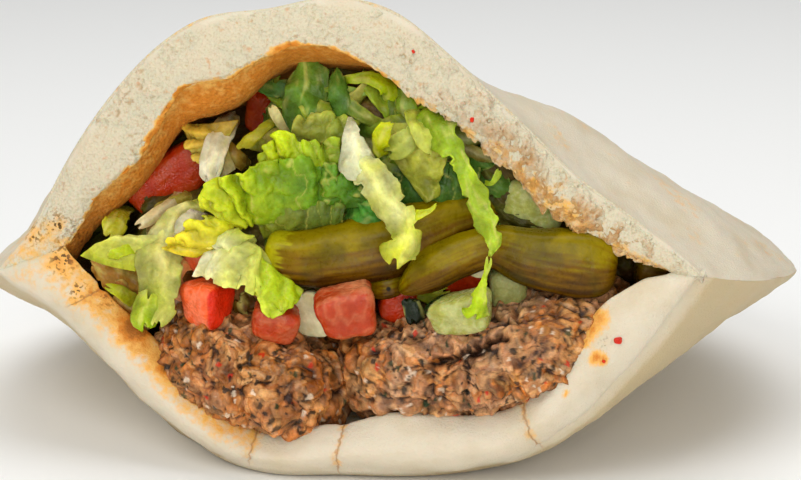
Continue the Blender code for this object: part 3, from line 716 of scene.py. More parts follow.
@dataclass(frozen=True)
class PitaBread:
    """The pocket bread: its closed skin and pocket, and the torn crumb round the roof of its mouth.

    Its plan is a circle. Over a rim that falls towards the back stands a dome, highest at the mouth,
    and under it hangs a bowl with a flat floor. The pocket is the same form, smaller by its walls.

    All sizes are in mm. The four outlines are (x, z) along the mouth: skin names its outer edge
    and crumb its inner one. Rows and columns count the points of each surface.
    """

    radius: float = 90.0
    centre_x: float = -1.5
    centre_y: float = 52.0
    rim_mouth: float = 41.0
    rim_back: float = 22.0
    rim_fade: float = 48.0
    rim_tilt: float = 4.0
    crown_rise: float = 28.0
    crown_opening: float = 34.0
    belly_depth: float = 46.0
    pocket_half_width: float = 80.0
    pocket_centre_y: float = 45.0
    pocket_reach: float = 77.0
    roof_thickness: float = 7.0
    floor_thickness: float = 6.0
    floor_softness: float = 3.0
    columns: int = 560
    skin_rows: int = 104
    lip_rows: int = 32
    wall_rows: int = 38
    crumb_columns: int = 1100
    crumb_rows: int = 70
    baked_x: float = 45.0
    roof_skin: Points = (
        (-75, 38), (-66.5, 48), (-61, 58.5), (-52, 72.5), (-44.5, 81.5), (-33, 90.4), (-16, 94.4),
        (-3, 96.5), (9, 93.6), (21, 84.6), (33.5, 73.5), (46, 62), (59, 53), (72, 43.5))
    roof_crumb: Points = (
        (-60, 44), (-54.5, 53), (-43, 65.5), (-36, 77), (-25, 81.5), (-11, 88.5), (0, 87),
        (11.5, 80), (21.5, 73), (32, 65), (39, 57.5), (52.5, 49.5), (66, 44))
    floor_crumb: Points = (
        (-60, 44), (-51.5, 36), (-41, 27), (-29.5, 16.5), (-18, 10), (-2, 11.5), (9, 14),
        (26, 14.5), (36, 17.5), (45, 28), (52, 38), (58, 42), (66, 44))
    floor_skin: Points = (
        (-75, 38), (-63, 32), (-52, 22.5), (-39.5, 12), (-29, 5), (-16, 1.1), (0, 1.9),
        (14, 2.4), (27, 4), (36, 5.5), (48.5, 13.5), (60, 26), (72, 43.5))
    finish: BreadFinish = BreadFinish()

    def edge(self, angle: Array, roof: Points, floor: Points, back_roof: float,
             back_floor: float) -> Array:
        """One edge of the mouth: a ring through the roof's and the floor's outlines.

        Args:
            angle: round the mouth, from the right corner over the roof.
            roof: the roof's outline as (x, z).
            floor: the floor's outline.
            back_roof: how far the roof's edge stands back from the mouth's plane.
            back_floor: the same for the floor.

        Returns:
            The ring's points.
        """
        left, right = roof[0][0], roof[-1][0]
        x = (left + right) / 2 + np.cos(angle) * (right - left) / 2
        is_roof = np.sin(angle) > 0
        z = np.where(is_roof, curve_through(roof, x), curve_through(floor, x))
        y = np.sin(angle) ** 2 * np.where(is_roof, back_roof, back_floor)
        return places(x, y, z)

    def skin_edge(self, angle: Array) -> Array:
        """The outer edge of the mouth."""
        return self.edge(angle, self.roof_skin, self.floor_skin, 3.0, -10.5)

    def crumb_edge(self, angle: Array) -> Array:
        """The inner edge of the mouth."""
        return self.edge(angle, self.roof_crumb, self.floor_crumb, -1.0, -9.0)

    def soft_floor(self, z: Array) -> Array:
        """z kept at or above 0: exactly 0 below 0, z itself above the softness, and a cubic between them."""
        t = np.clip(z / self.floor_softness, 0.0, 1.0)
        return np.where(z > self.floor_softness, z, self.floor_softness * (2.0 * t**2 - t**3))

    def heights(self, angle: Array, depth: Array, crown_cut: float, floor_keep: float,
                end: Array) -> Array:
        """Heights of a closed section: a rim, a dome over it and a bowl under it that rests on z = 0.

        Args:
            angle: round the section.
            depth: how far back the section is.
            crown_cut: taken off the dome.
            floor_keep: share of the bowl that is kept.
            end: closes the section at the pocket's end.

        Returns:
            z for each angle and depth.
        """
        across = np.cos(angle)
        crest = np.sin(angle) ** 2
        half_width = np.sqrt(np.maximum(self.radius**2 - (depth - self.centre_y) ** 2, 0.0))
        spread = half_width / self.radius
        back = depth / (self.centre_y + self.radius)
        rim = (self.rim_back + (self.rim_mouth - self.rim_back) * np.exp(-depth / self.rim_fade)
               + self.rim_tilt * across * spread)
        crown = self.crown_rise * spread**2 + self.crown_opening * np.maximum(1 - back, 0.0) ** 1.6
        dome = crest**0.85 * (1 - 0.10 * ease(across / 0.35)
                              - 0.13 * ease((across - 0.45) / 0.3)
                              - 0.30 * ease((-across - 0.5) / 0.35))
        roof = rim + np.maximum(crown - crown_cut, 0.5) * end * dome
        bowl = crest**0.85 * (1 - 0.36 * ease((across - 0.3) / 0.45)
                              - 0.60 * ease((-across - 0.4) / 0.45))
        belly = rim - self.soft_floor(rim - self.belly_depth * spread**1.2 * bowl)
        return np.where(np.sin(angle) > 0, roof, rim - belly * floor_keep * end)

    def skin(self, angle: Array, turn: Array) -> Array:
        """The outer skin: the bread's round plan, opened towards the edge of the mouth.

        Args:
            angle: round the section, as a row.
            turn: from the mouth at 0 to the back at 1, as a column.

        Returns:
            Points by turn and angle.
        """
        first = math.asin(-self.centre_y / self.radius)
        phi = first + (math.pi / 2 - first) * turn
        depth = self.centre_y + self.radius * np.sin(phi)
        edge = self.skin_edge(angle)
        is_roof = np.sin(angle) > 0
        crest = np.sin(angle) ** 2
        opening = 1 - ease(depth / np.where(is_roof, 36.0, 38.0))
        flat = np.zeros_like(depth)
        start = self.heights(angle, flat, 0.0, 1.0, 1.0)
        z = self.heights(angle, depth, 0.0, 1.0, 1.0) + opening * (edge[:, 2] - start)
        neck = 2.2 * crest**0.5 * bell((depth - 11.0) / 6.0)
        z = np.where(is_roof, z, self.soft_floor(z + neck))
        x = self.centre_x + self.radius * np.cos(phi) * np.cos(angle)
        x0 = self.centre_x + self.radius * math.cos(first) * np.cos(angle)
        y = depth + edge[:, 1] * np.maximum(1 - depth / 45.0, 0.0) ** 2
        return places(x + opening * (edge[:, 0] - x0), y, z)

    def rounded_rim(self, rings: Array, angle: Array) -> Array:
        """The skin with its sharp rim at the back rounded: there each ring is nearly its running mean.

        Args:
            rings: the skin's points by turn and angle.
            angle: round the section.

        Returns:
            The changed points.
        """
        half = self.columns // 12
        reach = np.arange(-half, half + 1)
        weight = bell(2 * reach / half)
        mean = sum(w * np.roll(rings, k, axis=1) for w, k in zip(weight / weight.sum(), reach))
        near = bell(np.sin(angle) / 0.4)[:, None] * ease((rings[..., 1:2] - 60) / 40)
        return rings + (mean - rings) * near

    def wall(self, angle: Array, depth: Array) -> Array:
        """The pocket's wall at a depth, an ellipse in plan that opens towards the crumb's edge.

        Args:
            angle: round the section.
            depth: how far back, of the same shape or a column.

        Returns:
            The wall's points.
        """
        sine = np.clip((depth - self.pocket_centre_y) / self.pocket_reach, -1.0, 1.0)
        cosine = np.sqrt(1 - sine**2)
        end = np.where(sine > 0, cosine**0.6, 1.0)
        edge = self.crumb_edge(angle)
        keep = 1 - self.floor_thickness / self.rim_back
        opening = 1 - ease(depth / 30.0)
        first = math.sqrt(1 - (self.pocket_centre_y / self.pocket_reach) ** 2)
        x = self.centre_x + self.pocket_half_width * cosine * np.cos(angle)
        x0 = self.centre_x + self.pocket_half_width * first * np.cos(angle)
        start = self.heights(angle, np.zeros_like(depth), self.roof_thickness, keep, 1.0)
        z = self.heights(angle, depth, self.roof_thickness, keep, end) + opening * (edge[..., 2] - start)
        y = depth + edge[..., 1] * np.maximum(1 - depth / 45.0, 0.0) ** 2
        return places(x + opening * (edge[..., 0] - x0), y, z)

    def lip(self, angle: Array, way: Array) -> Array:
        """The torn face between the two edges of the mouth, which bulges on the floor side.

        Args:
            angle: round the mouth.
            way: from 0 at the outer edge to 1 at the inner.

        Returns:
            The face's points.
        """
        ring = self.skin_edge(angle) * (1 - way[..., None]) + self.crumb_edge(angle) * way[..., None]
        bulge = np.where(np.sin(angle) > 0, 0.8, 5.2 * np.abs(np.sin(angle)) ** 0.7)
        ring[..., 1] -= bulge * np.sin(np.pi * np.clip(way, 0, 1)) ** 0.8
        return ring

    def toast_at(self, points: Array, is_roof: Array, way: Array) -> Array:
        """How toasted the bread is, with painted light and shade in the same measure.

        The roof is toasted over most of its torn face in a band round baked_x. From its inner edge inwards
        at the left it is painted golden-brown for the warm light and shade on the pocket's ceiling. The lower
        lip is toasted along its inner edge at the left, in the spots of TOAST_SPOTS and in the left corner
        all over, and painted darker along its creases for their shade. The roof's skin has a faint blush in
        blotches.

        Args:
            points: places on the bread.
            is_roof: where they belong to the roof.
            way: across the lip, from 0 on the skin to 1 and more in the pocket.

        Returns:
            From 0 to 1 at each point.
        """
        x, y, z = np.moveaxis(points, -1, 0)
        near = np.exp(-(np.maximum(y, 0) / 12.0))
        corner = 0.26 * np.exp(-(((x + 66) / 8.0) ** 2) - ((z - 43) / 7.0) ** 2) * near
        along = ease((-x - 12) / 14) * ease((x + 56) / 14)
        low = 0.5 * along * bell((way - 0.95) / 0.4)
        spots = spotted(points, TOAST_SPOTS)
        # Painted shade along the lower lip's creases.
        lines = sum(0.2 * bell(near_line(points, *ends) / 1.2) for ends in LIP_CREASES)
        band = bell((x - self.baked_x) / 16.0)
        inner = ease((way - 0.95 + 0.88 * band) / (0.14 + 0.56 * band))
        # At the left this share is painted light and shade of the pocket's ceiling; in the band round baked_x
        # it is toasting.
        share = 0.80 - 0.54 * ease((x - 6) / 12)
        uneven = np.clip(1 + 1.2 * band * lumps(points, 9.0, 53), 0.2, 1.3)
        roof = np.where(is_roof, inner * share * uneven, 0.0)
        blush = np.where(is_roof & (way <= 0), 0.13 * ease(fractal(points, 12.0, 71) * 1.6 - 0.1), 0.0)
        scorched = 0.2 * self.char_at(points)
        low = low + near * (spots + lines)
        return np.clip(corner + np.where(is_roof, blush, low) + roof + scorched, 0.0, 1.2)

    def char_at(self, points: Array) -> Array:
        """How burnt the bread is at each point, from 0 to 1: in CHAR_SPOTS, faded into the pocket."""
        return np.clip(spotted(points, CHAR_SPOTS), 0, 1) * np.exp(-(np.maximum(points[..., 1], 0) / 8.0))

    def creases(self, points: Array, edge: Array) -> Array:
        """Depth of the creases of the lower lip: narrow valleys across it, and one round its right side.

        Args:
            points: places on the bread, by ring and angle.
            edge: the outer edge of the mouth, by angle.

        Returns:
            How deep each point is set in, in mm.
        """
        x, y = points[..., 0], points[..., 1]
        across = sum(0.6 * bell(near_line(points, *ends) / 0.9) for ends in LIP_CREASES)
        away = norm(points - edge, axis=-1)
        collar = 1.7 * bell(away / 1.4) * ease((x - 34) / 12)
        return across * ease((4 - y) / 6) + collar

    def cracks(self, points: Array) -> tuple[Array, Array]:
        """Where the cracks in the creases run.

        Args:
            points: places on the bread.

        Returns:
            How far each point lies beside the nearest crease, and how near that is, from 0 to 1.
        """
        distance = np.stack([near_line(points, *ends) for ends in LIP_CREASES])
        beside = np.stack([beside_line(points, *ends) for ends in LIP_CREASES])
        nearest = distance.argmin(axis=0)[None]
        near = bell(np.take_along_axis(distance, nearest, 0)[0] / 1.5)
        return np.take_along_axis(beside, nearest, 0)[0], near * ease((4 - points[..., 1]) / 6)

    def body(self) -> Shape:
        """Skin, lip and pocket wall as one closed surface with the relief of baked dough.

        The relief is noise in lumps of 20 and 6 mm, less the lip's creases. In the pocket it is noise
        of 3 mm, and the roof sags a little behind its edge at the left.

        Returns:
            The surface, with what its material reads.
        """
        angle = 2 * np.pi * np.arange(self.columns) / self.columns
        turn = (1 - np.arange(self.skin_rows + 1) / self.skin_rows)[:, None] ** 1.35
        way = (np.arange(1, self.lip_rows + 1) / (self.lip_rows + 1))[:, None] * np.ones_like(angle)
        phi0 = math.asin(-self.pocket_centre_y / self.pocket_reach)
        inward = (np.arange(self.wall_rows + 1) / self.wall_rows)[:, None] ** 1.2
        depth = self.pocket_centre_y + self.pocket_reach * np.sin(phi0 + (math.pi / 2 - phi0) * inward)
        skin = self.rounded_rim(self.skin(angle, turn), angle)
        rings = np.concatenate([skin, self.lip(angle, way), self.wall(angle, depth)])
        place = np.concatenate([np.zeros(self.skin_rows + 1), way[:, 0], 1 + inward[:, 0] * 3])[:, None]
        place = place * np.ones_like(angle)
        is_roof = (np.sin(angle) > 0) * np.ones_like(place, bool)
        normal = grid_normals(rings, True)
        raised = rings[:, :, 2] > 2.5
        relief = 0.55 * fractal(rings, 20, 3) + 0.26 * fractal(rings, 6, 9)
        creases = self.creases(rings, self.skin_edge(angle))
        relief = np.where(raised, relief, 0.0) - np.where(is_roof, 0.0, creases)
        relief = np.where(place > 1, -0.4 * np.abs(fractal(rings, 3.0, 21)), relief)
        sag = ease((place - 1) / 0.1) * bell((rings[..., 1] - 8) / 8)
        x = rings[..., 0]
        sag = sag * (4.2 * ease((-12 - x) / 16) + 1.2 * ease((6 - x) / 12))
        relief = relief + np.where(is_roof, sag, 0.0)
        sign = 1.0 if (normal[self.skin_rows // 2, self.columns // 4, 2] > 0) else -1.0
        toast = self.toast_at(rings, is_roof, place)
        # Painted light and shade: the pocket's wall is coloured golden-brown for the warm light that the
        # bread bounces into the pocket, darker deeper in.
        deep = ease((place - 1.0) / 0.6)
        toast = np.maximum(toast, deep * np.where(is_roof, 0.8 + 0.2 * ease((x + 32) / 18), 0.34))
        crumb = np.where(is_roof, ease((place - 0.05) / 0.1), ease((place - 0.95) / 0.2))
        # Painted shade: the skin of the underside is darkened away from the mouth's edge.
        away = norm(rings - self.skin_edge(angle), axis=-1)
        flank = np.where(is_roof | (place > 0), 0.0, ease(away / 4))
        beside, near = self.cracks(rings)
        return ring_shape(rings + sign * normal * relief[..., None], crumb=crumb, toast=toast,
                          char=self.char_at(rings), flank=flank, crack_side=beside,
                          crack=np.where(is_roof, 0.0, near))

    def torn_crumb(self) -> Shape:
        """The open crumb of the roof's torn edge: a tube along the mouth, buried in the bread behind.

        Its face is the lip's surface raised by lumps and lowered by the pores of two sizes of grain.
        Its inner side reaches past the lip's edge in ragged teeth, whose length is noise along the edge.

        Returns:
            The tube, with what the bread's material reads.
        """
        angle = np.linspace(0.02, np.pi - 0.02, self.crumb_columns)[None, :]
        share = np.linspace(0.0, 1.0, self.crumb_rows)[:, None]
        flat = self.lip(angle[0], np.full(self.crumb_columns, 0.5))
        x = flat[:, 0]
        right = ease((x + 5) / 25)
        close, _, _ = grains(flat, 1.7, 33)
        ragged = (0.8 + 1.5 * fractal(flat, 5.0, 31, 4) * (0.4 + right)
                  + 0.45 * np.clip(1 - (close / 0.65) ** 2, 0, 1) * (0.3 + right))
        ragged = np.maximum(ragged, 0.1)
        outer = self.skin_edge(angle[0])
        across = self.crumb_edge(angle[0]) - outer
        teeth = ragged / norm(across, axis=-1)
        way = -0.06 + (1.06 + teeth) * share
        base = outer + across * way[..., None]
        base[..., 1] -= 0.8 * np.sin(np.pi * np.clip(way, 0, 1)) ** 0.8
        normal = grid_normals(base, False)
        normal *= np.sign(-normal[..., 1:2])
        ends = ease(np.sin(angle) / 0.12)
        swell = ease(share / 0.12) * ease((1 - share) / 0.06) * ends
        bent = warped(base, 2.0, 0.7, 39)
        close, _, name = grains(bent, 1.9, 41)
        pore = ease((0.42 - close) / 0.3) * ease((name - 0.5) / 0.3)
        close, _, name = grains(bent, 0.95, 47)
        small = ease((0.45 - close) / 0.3) * ease((name - 0.3) / 0.3)
        rough = 0.35 + 0.65 * right
        knobs = np.clip(1 - (grains(bent, 1.3, 55)[0] / 0.6) ** 2, 0, 1)
        rough_relief = (0.55 + 0.35 * right) * fractal(base, 3.5, 43, 4) + 0.35 * right * knobs
        relief = swell * (0.5 + rough_relief - 0.75 * rough * pore - 0.45 * small) - 0.5
        front = base + normal * relief[..., None]
        thick = 2.4 * swell * ease((1 - share) / 0.25) + 0.35 + 0.5 * swell
        picks = (np.linspace(0.94, 0.06, 8) * (self.crumb_rows - 1)).astype(int)
        back = (base - normal * thick[..., None])[picks]
        rings = np.moveaxis(np.concatenate([front, back]), 0, 1)
        toast = self.toast_at(base, np.ones_like(way, bool), way + 0.12 * fractal(base, 5.0, 51))
        close, _, name = grains(bent, 1.1, 57)
        inner_side = ease((way - 0.1 + 0.2 * fractal(base, 6.0, 59)) / 0.45)
        baked = bell((x - self.baked_x) / 19) * inner_side
        speckle = baked * (0.5 + 0.6 * ease((name - 0.3) / 0.3) + 0.4 * fractal(base, 1.5, 61))
        # Painted shade in the pores, with toasted specks in the band round baked_x.
        pit = np.clip((0.6 * pore + 0.4 * small) * swell + speckle, 0, 1)
        fields = {"crumb": np.ones_like(way), "toast": toast, "char": self.char_at(base), "pit": pit}
        return ring_shape(rings, **{key: np.moveaxis(np.concatenate([value, value[picks]]), 0, 1)
                                    for key, value in fields.items()})

    def build(self) -> Array:
        """Adds the bread's two pieces.

        Returns:
            Their points.
        """
        material = self.finish.material()
        body, crumb = self.body(), self.torn_crumb()
        new_piece("pita", body, material, ("pita",))
        new_piece("torn_crumb", crumb, material)
        return np.concatenate([body.points, crumb.points])


# ---------------- fingers: koftas and peppers


def frames_along(line: Array, facing: Place) -> tuple[Array, ...]:
    """Directions at each point of a line.

    Args:
        line: its points.
        facing: roughly where its face looks.

    Returns:
        Unit directions along it, across it, and out of its face.
    """
    tangent = np.gradient(line, axis=0)
    tangent /= norm(tangent, axis=1, keepdims=True)
    side = np.cross(np.broadcast_to(facing, tangent.shape), tangent)
    side /= norm(side, axis=1, keepdims=True)
    return tangent, side, np.cross(tangent, side)


def finger_rings(points: Points, half_width: float, half_height: float, roll: float, shares: Array,
                 columns: int, fullness: float, bluntness: Pair) -> Array:
    """A finger along a line: superelliptic sections, rolled round the line, with rounded ends.

    Args:
        points: (x, y, z) along the middle, with a fourth number that scales the section there.
        half_width: of the section.
        half_height: of the section.
        roll: turn round the line in degrees.
        shares: places of the rings along the line, from 0 to 1.
        columns: points in a ring.
        fullness: exponent of the section; 2 is an ellipse.
        bluntness: exponents of the first and the last end.

    Returns:
        Points by ring and column.
    """
    line = smooth_line(points, shares)
    _, side, up = frames_along(line[:, :3], (0.0, 0.0, 1.0))
    turn = math.radians(roll)
    side, up = side * math.cos(turn) - up * math.sin(turn), up * math.cos(turn) + side * math.sin(turn)
    power = np.where(shares < 0.5, bluntness[0], bluntness[1])
    end = (1 - np.abs(2 * shares - 1) ** power) ** (1 / 2.2)
    scale = end if line.shape[1] == 3 else end * line[:, 3]
    angle = np.linspace(0.0, 2 * np.pi, 4001)
    wide = np.sign(np.cos(angle)) * np.abs(np.cos(angle)) ** (2 / fullness) * half_width
    high = np.sign(np.sin(angle)) * np.abs(np.sin(angle)) ** (2 / fullness) * half_height
    run = np.concatenate([[0.0], np.cumsum(np.hypot(np.diff(wide), np.diff(high)))])
    steps = run[-1] * np.arange(columns) / columns
    wide, high = np.interp(steps, run, wide), np.interp(steps, run, high)
    return (line[:, None, :3] + scale[:, None, None]
            * (wide[None, :, None] * side[:, None] + high[None, :, None] * up[:, None]))


# The mince's browns, then its sear, its pale fat and the painted shade of its creases. Then what is in it:
# from and to which chance, the colour, and its share of a cell.
MINCE = ["#B06E30", "#C48A4A", "#8A5020", "#D4A064", "#B87634", "#96581E", "#CC9454", "#6A3814",
         "#BE8656", "#B06E34", "#C06A1E", "#CCA074"]
SEAR, FAT, CREASE = "#A0520E", "#BC9474", "#22100A"
HERBS = [(0.0, 0.14, "#12140E", 0.40), (0.14, 0.19, "#22381E", 0.40), (0.19, 0.215, "#C42A0C", 0.36),
         (0.215, 0.26, "#C87A38", 0.42), (0.26, 0.34, "#DCC4A8", 0.38)]


@dataclass(frozen=True)
class Kofta:
    """One finger of grilled mince.

    Attributes:
        name: of the piece and of the node that it stands for.
        line: (x, y, z) along its middle.
        half_width, half_height, roll: of its section in mm, and its turn in degrees.
        seared: how brown it is, from 0 to 1.
        seed: of its crags.
        fissures: cracks in its front as (x, z) of both ends.
        lobes: swellings of its front as (x, z, radius, height).
        rows, columns: rings along it, and points in a ring.
        lump_size, shred_size: widths of its lumps and shreds in mm.
        knob_size, crumb_size: spacings of its knobs and crumbs in mm.
    """

    name: str
    line: Points
    half_width: float
    half_height: float
    roll: float
    seared: float
    seed: int
    fissures: tuple[tuple[Pair, Pair], ...] = ()
    lobes: tuple[tuple[float, float, float, float], ...] = ()
    rows: int = 320
    columns: int = 310
    lump_size: float = 7.5
    shred_size: float = 3.0
    knob_size: float = 3.3
    crumb_size: float = 1.4

    def shape(self) -> Shape:
        """The finger with the crags of coarse mince: lumps, shreds and crumbs that part in creases.

        The relief is the absolute value of noise for the lumps and shreds, and a round cap, one less the
        square of the distance from its middle, for each knob and crumb. Each crumb draws one of the
        browns of MINCE, darker where it is seared and with painted shade in the creases, and some small
        cells are herbs, chilli or fat, as HERBS lists them.

        Returns:
            The finger with its tint.
        """
        t = np.linspace(0.0, 1.0, self.rows)
        shares = (1 - np.cos(np.pi * t**1.25)) / 2
        rings = finger_rings(self.line, self.half_width, self.half_height, self.roll, shares,
                             self.columns, 3.8, (7.0, 7.0))
        normal = grid_normals(rings, True)
        inside = rings - rings.mean(axis=1, keepdims=True)
        normal *= np.sign(np.einsum("ijk,ijk->ij", normal, inside))[..., None].mean(axis=1, keepdims=True)
        place = warped(rings, 5.0, 2.6, self.seed)
        coarse = billow(place, self.lump_size, self.seed + 5)
        shreds = billow(place * [1.0, 1.0, 1.4], self.shred_size, self.seed + 11)
        knob, _, _ = grains(place, self.knob_size, self.seed + 31)
        close, _, crumb = grains(place, self.crumb_size, self.seed + 51)
        relief = (2.3 * coarse + 0.35 * shreds + 1.3 * np.clip(1 - (knob / 0.8) ** 2, 0, 1)
                  + 0.5 * np.clip(1 - (close / 0.7) ** 2, 0, 1) - 1.5)
        front = ease((4 - rings[..., 1]) / 10)
        deep = np.zeros_like(relief)
        for start, end in self.fissures:
            deep += front * bell(near_line(warped(rings, 4.0, 1.0, self.seed), start, end) / 0.8)
        relief -= 3.0 * deep
        for x, z, radius, height in self.lobes:
            away = (rings[..., 0] - x) ** 2 + (rings[..., 2] - z) ** 2
            relief += height * front * np.exp(-away / radius**2)
        # Painted shade in the creases between lumps, knobs and crumbs, and in the fissures.
        pit = (0.7 * ease((0.10 - coarse) / 0.12) + 0.7 * ease((knob - 0.55) / 0.3)
               + 0.2 * ease((0.09 - shreds) / 0.12) + 0.7 * ease((close - 0.5) / 0.25) - 0.25
               + 1.1 * deep)
        tint = self.tint(rings, place, crumb, np.clip(pit, 0.0, 1.0))
        return ring_shape(rings + normal * relief[..., None], tint=tint)

    def tint(self, rings: Array, place: Array, crumb: Array, pit: Array) -> Array:
        """The colour of each crumb.

        Args:
            rings: places on the smooth finger.
            place: the same places, moved as the crags are.
            crumb: the number of the crumb that each is on, from 0 to 1.
            pit: how deep in a crease each is, from 0 to 1, which sets the painted shade there.

        Returns:
            A linear colour at each place.
        """
        _, _, shred = grains(place * [1.0, 1.0, 2.2], 4.2, self.seed + 27)
        tint = mixed(drawn(MINCE, crumb), drawn(MINCE, shred), np.full(crumb.shape, 0.45))
        sear = ease(self.seared + 1.1 * fractal(rings, 8.0, self.seed + 8) - 0.35)
        tint = mixed(tint, linear(SEAR), 0.6 * sear)
        tint = mixed(tint, linear(FAT), (0.62 - 0.8 * self.seared) * ease(
            0.5 + fractal(rings, 11.0, self.seed + 67)))
        tint = mixed(tint, linear(CREASE), 0.95 * pit)
        tint = tint * (1 + 0.5 * fractal(rings, 4.0, self.seed + 61))[..., None]
        for cell in (2.0, 1.3):
            distance, _, name = grains(warped(rings, 1.4, 0.5, self.seed + 41), cell, self.seed + 43)
            for low, high, colour, size in HERBS:
                share = (name >= low) * (name < high) * ease((size - distance) / 0.10)
                tint = mixed(tint, linear(colour), 0.85 * share)
        return tint


@dataclass(frozen=True)
class Pepper:
    """One pickled pepper.

    Attributes:
        name: of the piece and of the node that it stands for.
        line: (x, y, z, radius) along its middle.
        cut_end: length of its yellow cut end, or 0.
        seed: of its ridges.
        rows, columns: rings along it, and points in a ring.
        under, flank, top, patch, speck, flesh: its colours, the last that of its cut end; the first three are
            painted shade below, half shade at the sides and painted light on top.
    """

    name: str
    line: Points
    cut_end: float = 0.0
    seed: int = 0
    rows: int = 220
    columns: int = 120
    under: str = "#341C00"
    flank: str = "#6C4A00"
    top: str = "#867400"
    patch: str = "#443C00"
    speck: str = "#1C1408"
    flesh: str = "#A49A08"

    def shape(self) -> Shape:
        """A flattened finger with lengthwise ridges and shallow dents, with painted light above and painted
        shade below.

        The ridges are three and seven cosine waves round the section, which drift along it.

        Returns:
            The finger with its tint.
        """
        t = (1 - np.cos(np.pi * np.linspace(0.0, 1.0, self.rows))) / 2
        rings = finger_rings(self.line, 0.86, 1.0, 0.0, t, self.columns, 2.9,
                             (40.0 if self.cut_end else 9.0, 9.0))
        angle = 2 * np.pi * np.arange(self.columns) / self.columns
        radius = smooth_line(self.line, t)[:, 3][:, None]
        drift = 0.5 * np.sin(3.1 * t + self.seed)[:, None]
        ridges = (np.cos(3 * angle[None] + 2 * drift + self.seed) * 0.08
                  + np.cos(7 * angle[None] - drift + 1.7 * self.seed) * 0.03)
        outwards = rings - rings.mean(axis=1, keepdims=True)
        outwards /= np.maximum(norm(outwards, axis=-1, keepdims=True), 1e-6)
        dents = 0.32 * fractal(rings, 9.0, self.seed, 2) + 0.05 * fractal(rings, 2.4, self.seed + 3)
        relief = radius * ridges * 0.7 + dents * np.minimum(radius / 4, 1)
        track = places(t[:, None] * 3, np.cos(angle) * 4, np.sin(angle) * 4)
        streak = fractal(track, 0.6, self.seed + 5)
        # Painted shade below and painted light on top, by height in the section, also over the cut end.
        height = rings[..., 2] - rings[..., 2].mean(axis=1, keepdims=True)
        height = height / np.maximum(radius, 0.5) + 0.5 * streak
        tint = mixed(linear(self.under), linear(self.flank), ease((height + 0.9) / 0.9))
        tint = mixed(tint, linear(self.top), 0.9 * ease((height + 0.25) / 0.9))
        tint = mixed(tint, linear(self.patch), 0.5 * ease(fractal(rings, 9.0, self.seed + 11) * 2))
        specks, _, name = grains(rings, 5.0, self.seed + 13)
        tint = mixed(tint, linear(self.speck), (name > 0.9) * ease((0.13 - specks) / 0.05))
        length = norm(np.diff(np.array(self.line)[:, :3], axis=0), axis=1).sum()
        cut = ease((self.cut_end - t[:, None] * length) / 1.6 + 1.6 * streak + 0.3)
        cut *= self.cut_end > 0
        tint = mixed(tint, linear(self.flesh), cut * ease((height + 1.2) / 0.8))
        return ring_shape(rings + outwards * relief[..., None], tint=tint)


# ---------------- diced vegetables


class Vegetable(Enum):
    """What a diced piece is cut from: its slot, and the colours of its flesh, core and skin."""

    TOMATO = ("tomato", "#F0602A", "#F2A07C", "#DC2C0C")
    DEEP_TOMATO = ("tomato", "#B43A10", "#D88C5C", "#AC2404")
    SHADED_TOMATO = ("tomato", "#B42C06", "#B84A18", "#902404")
    CUCUMBER = ("cucumber", "#A8AA50", "#E0E2B4", "#16280E")
    PICKLE = ("cucumber", "#8A8A4A", "#A4A468", "#3A4420")
    ONION = ("onion", "#C8BC86", "#E4DCB4", "#B49A58")
    FRIED = ("fried_piece", "#9A5A24", "#C88A4A", "#50280E")
    CHILLI = ("meat", "#C8200A", "#D85A1C", "#A01404")


def rotation(axis: int, angle: float) -> Array:
    """The matrix that turns points round one axis.

    Args:
        axis: 0 for x, 1 for y and 2 for z.
        angle: in radians.

    Returns:
        The matrix.
    """
    c, s = math.cos(angle), math.sin(angle)
    a, b = [(1, 2), (2, 0), (0, 1)][axis]
    matrix = np.eye(3)
    matrix[a, a], matrix[a, b], matrix[b, a], matrix[b, b] = c, -s, s, c
    return matrix


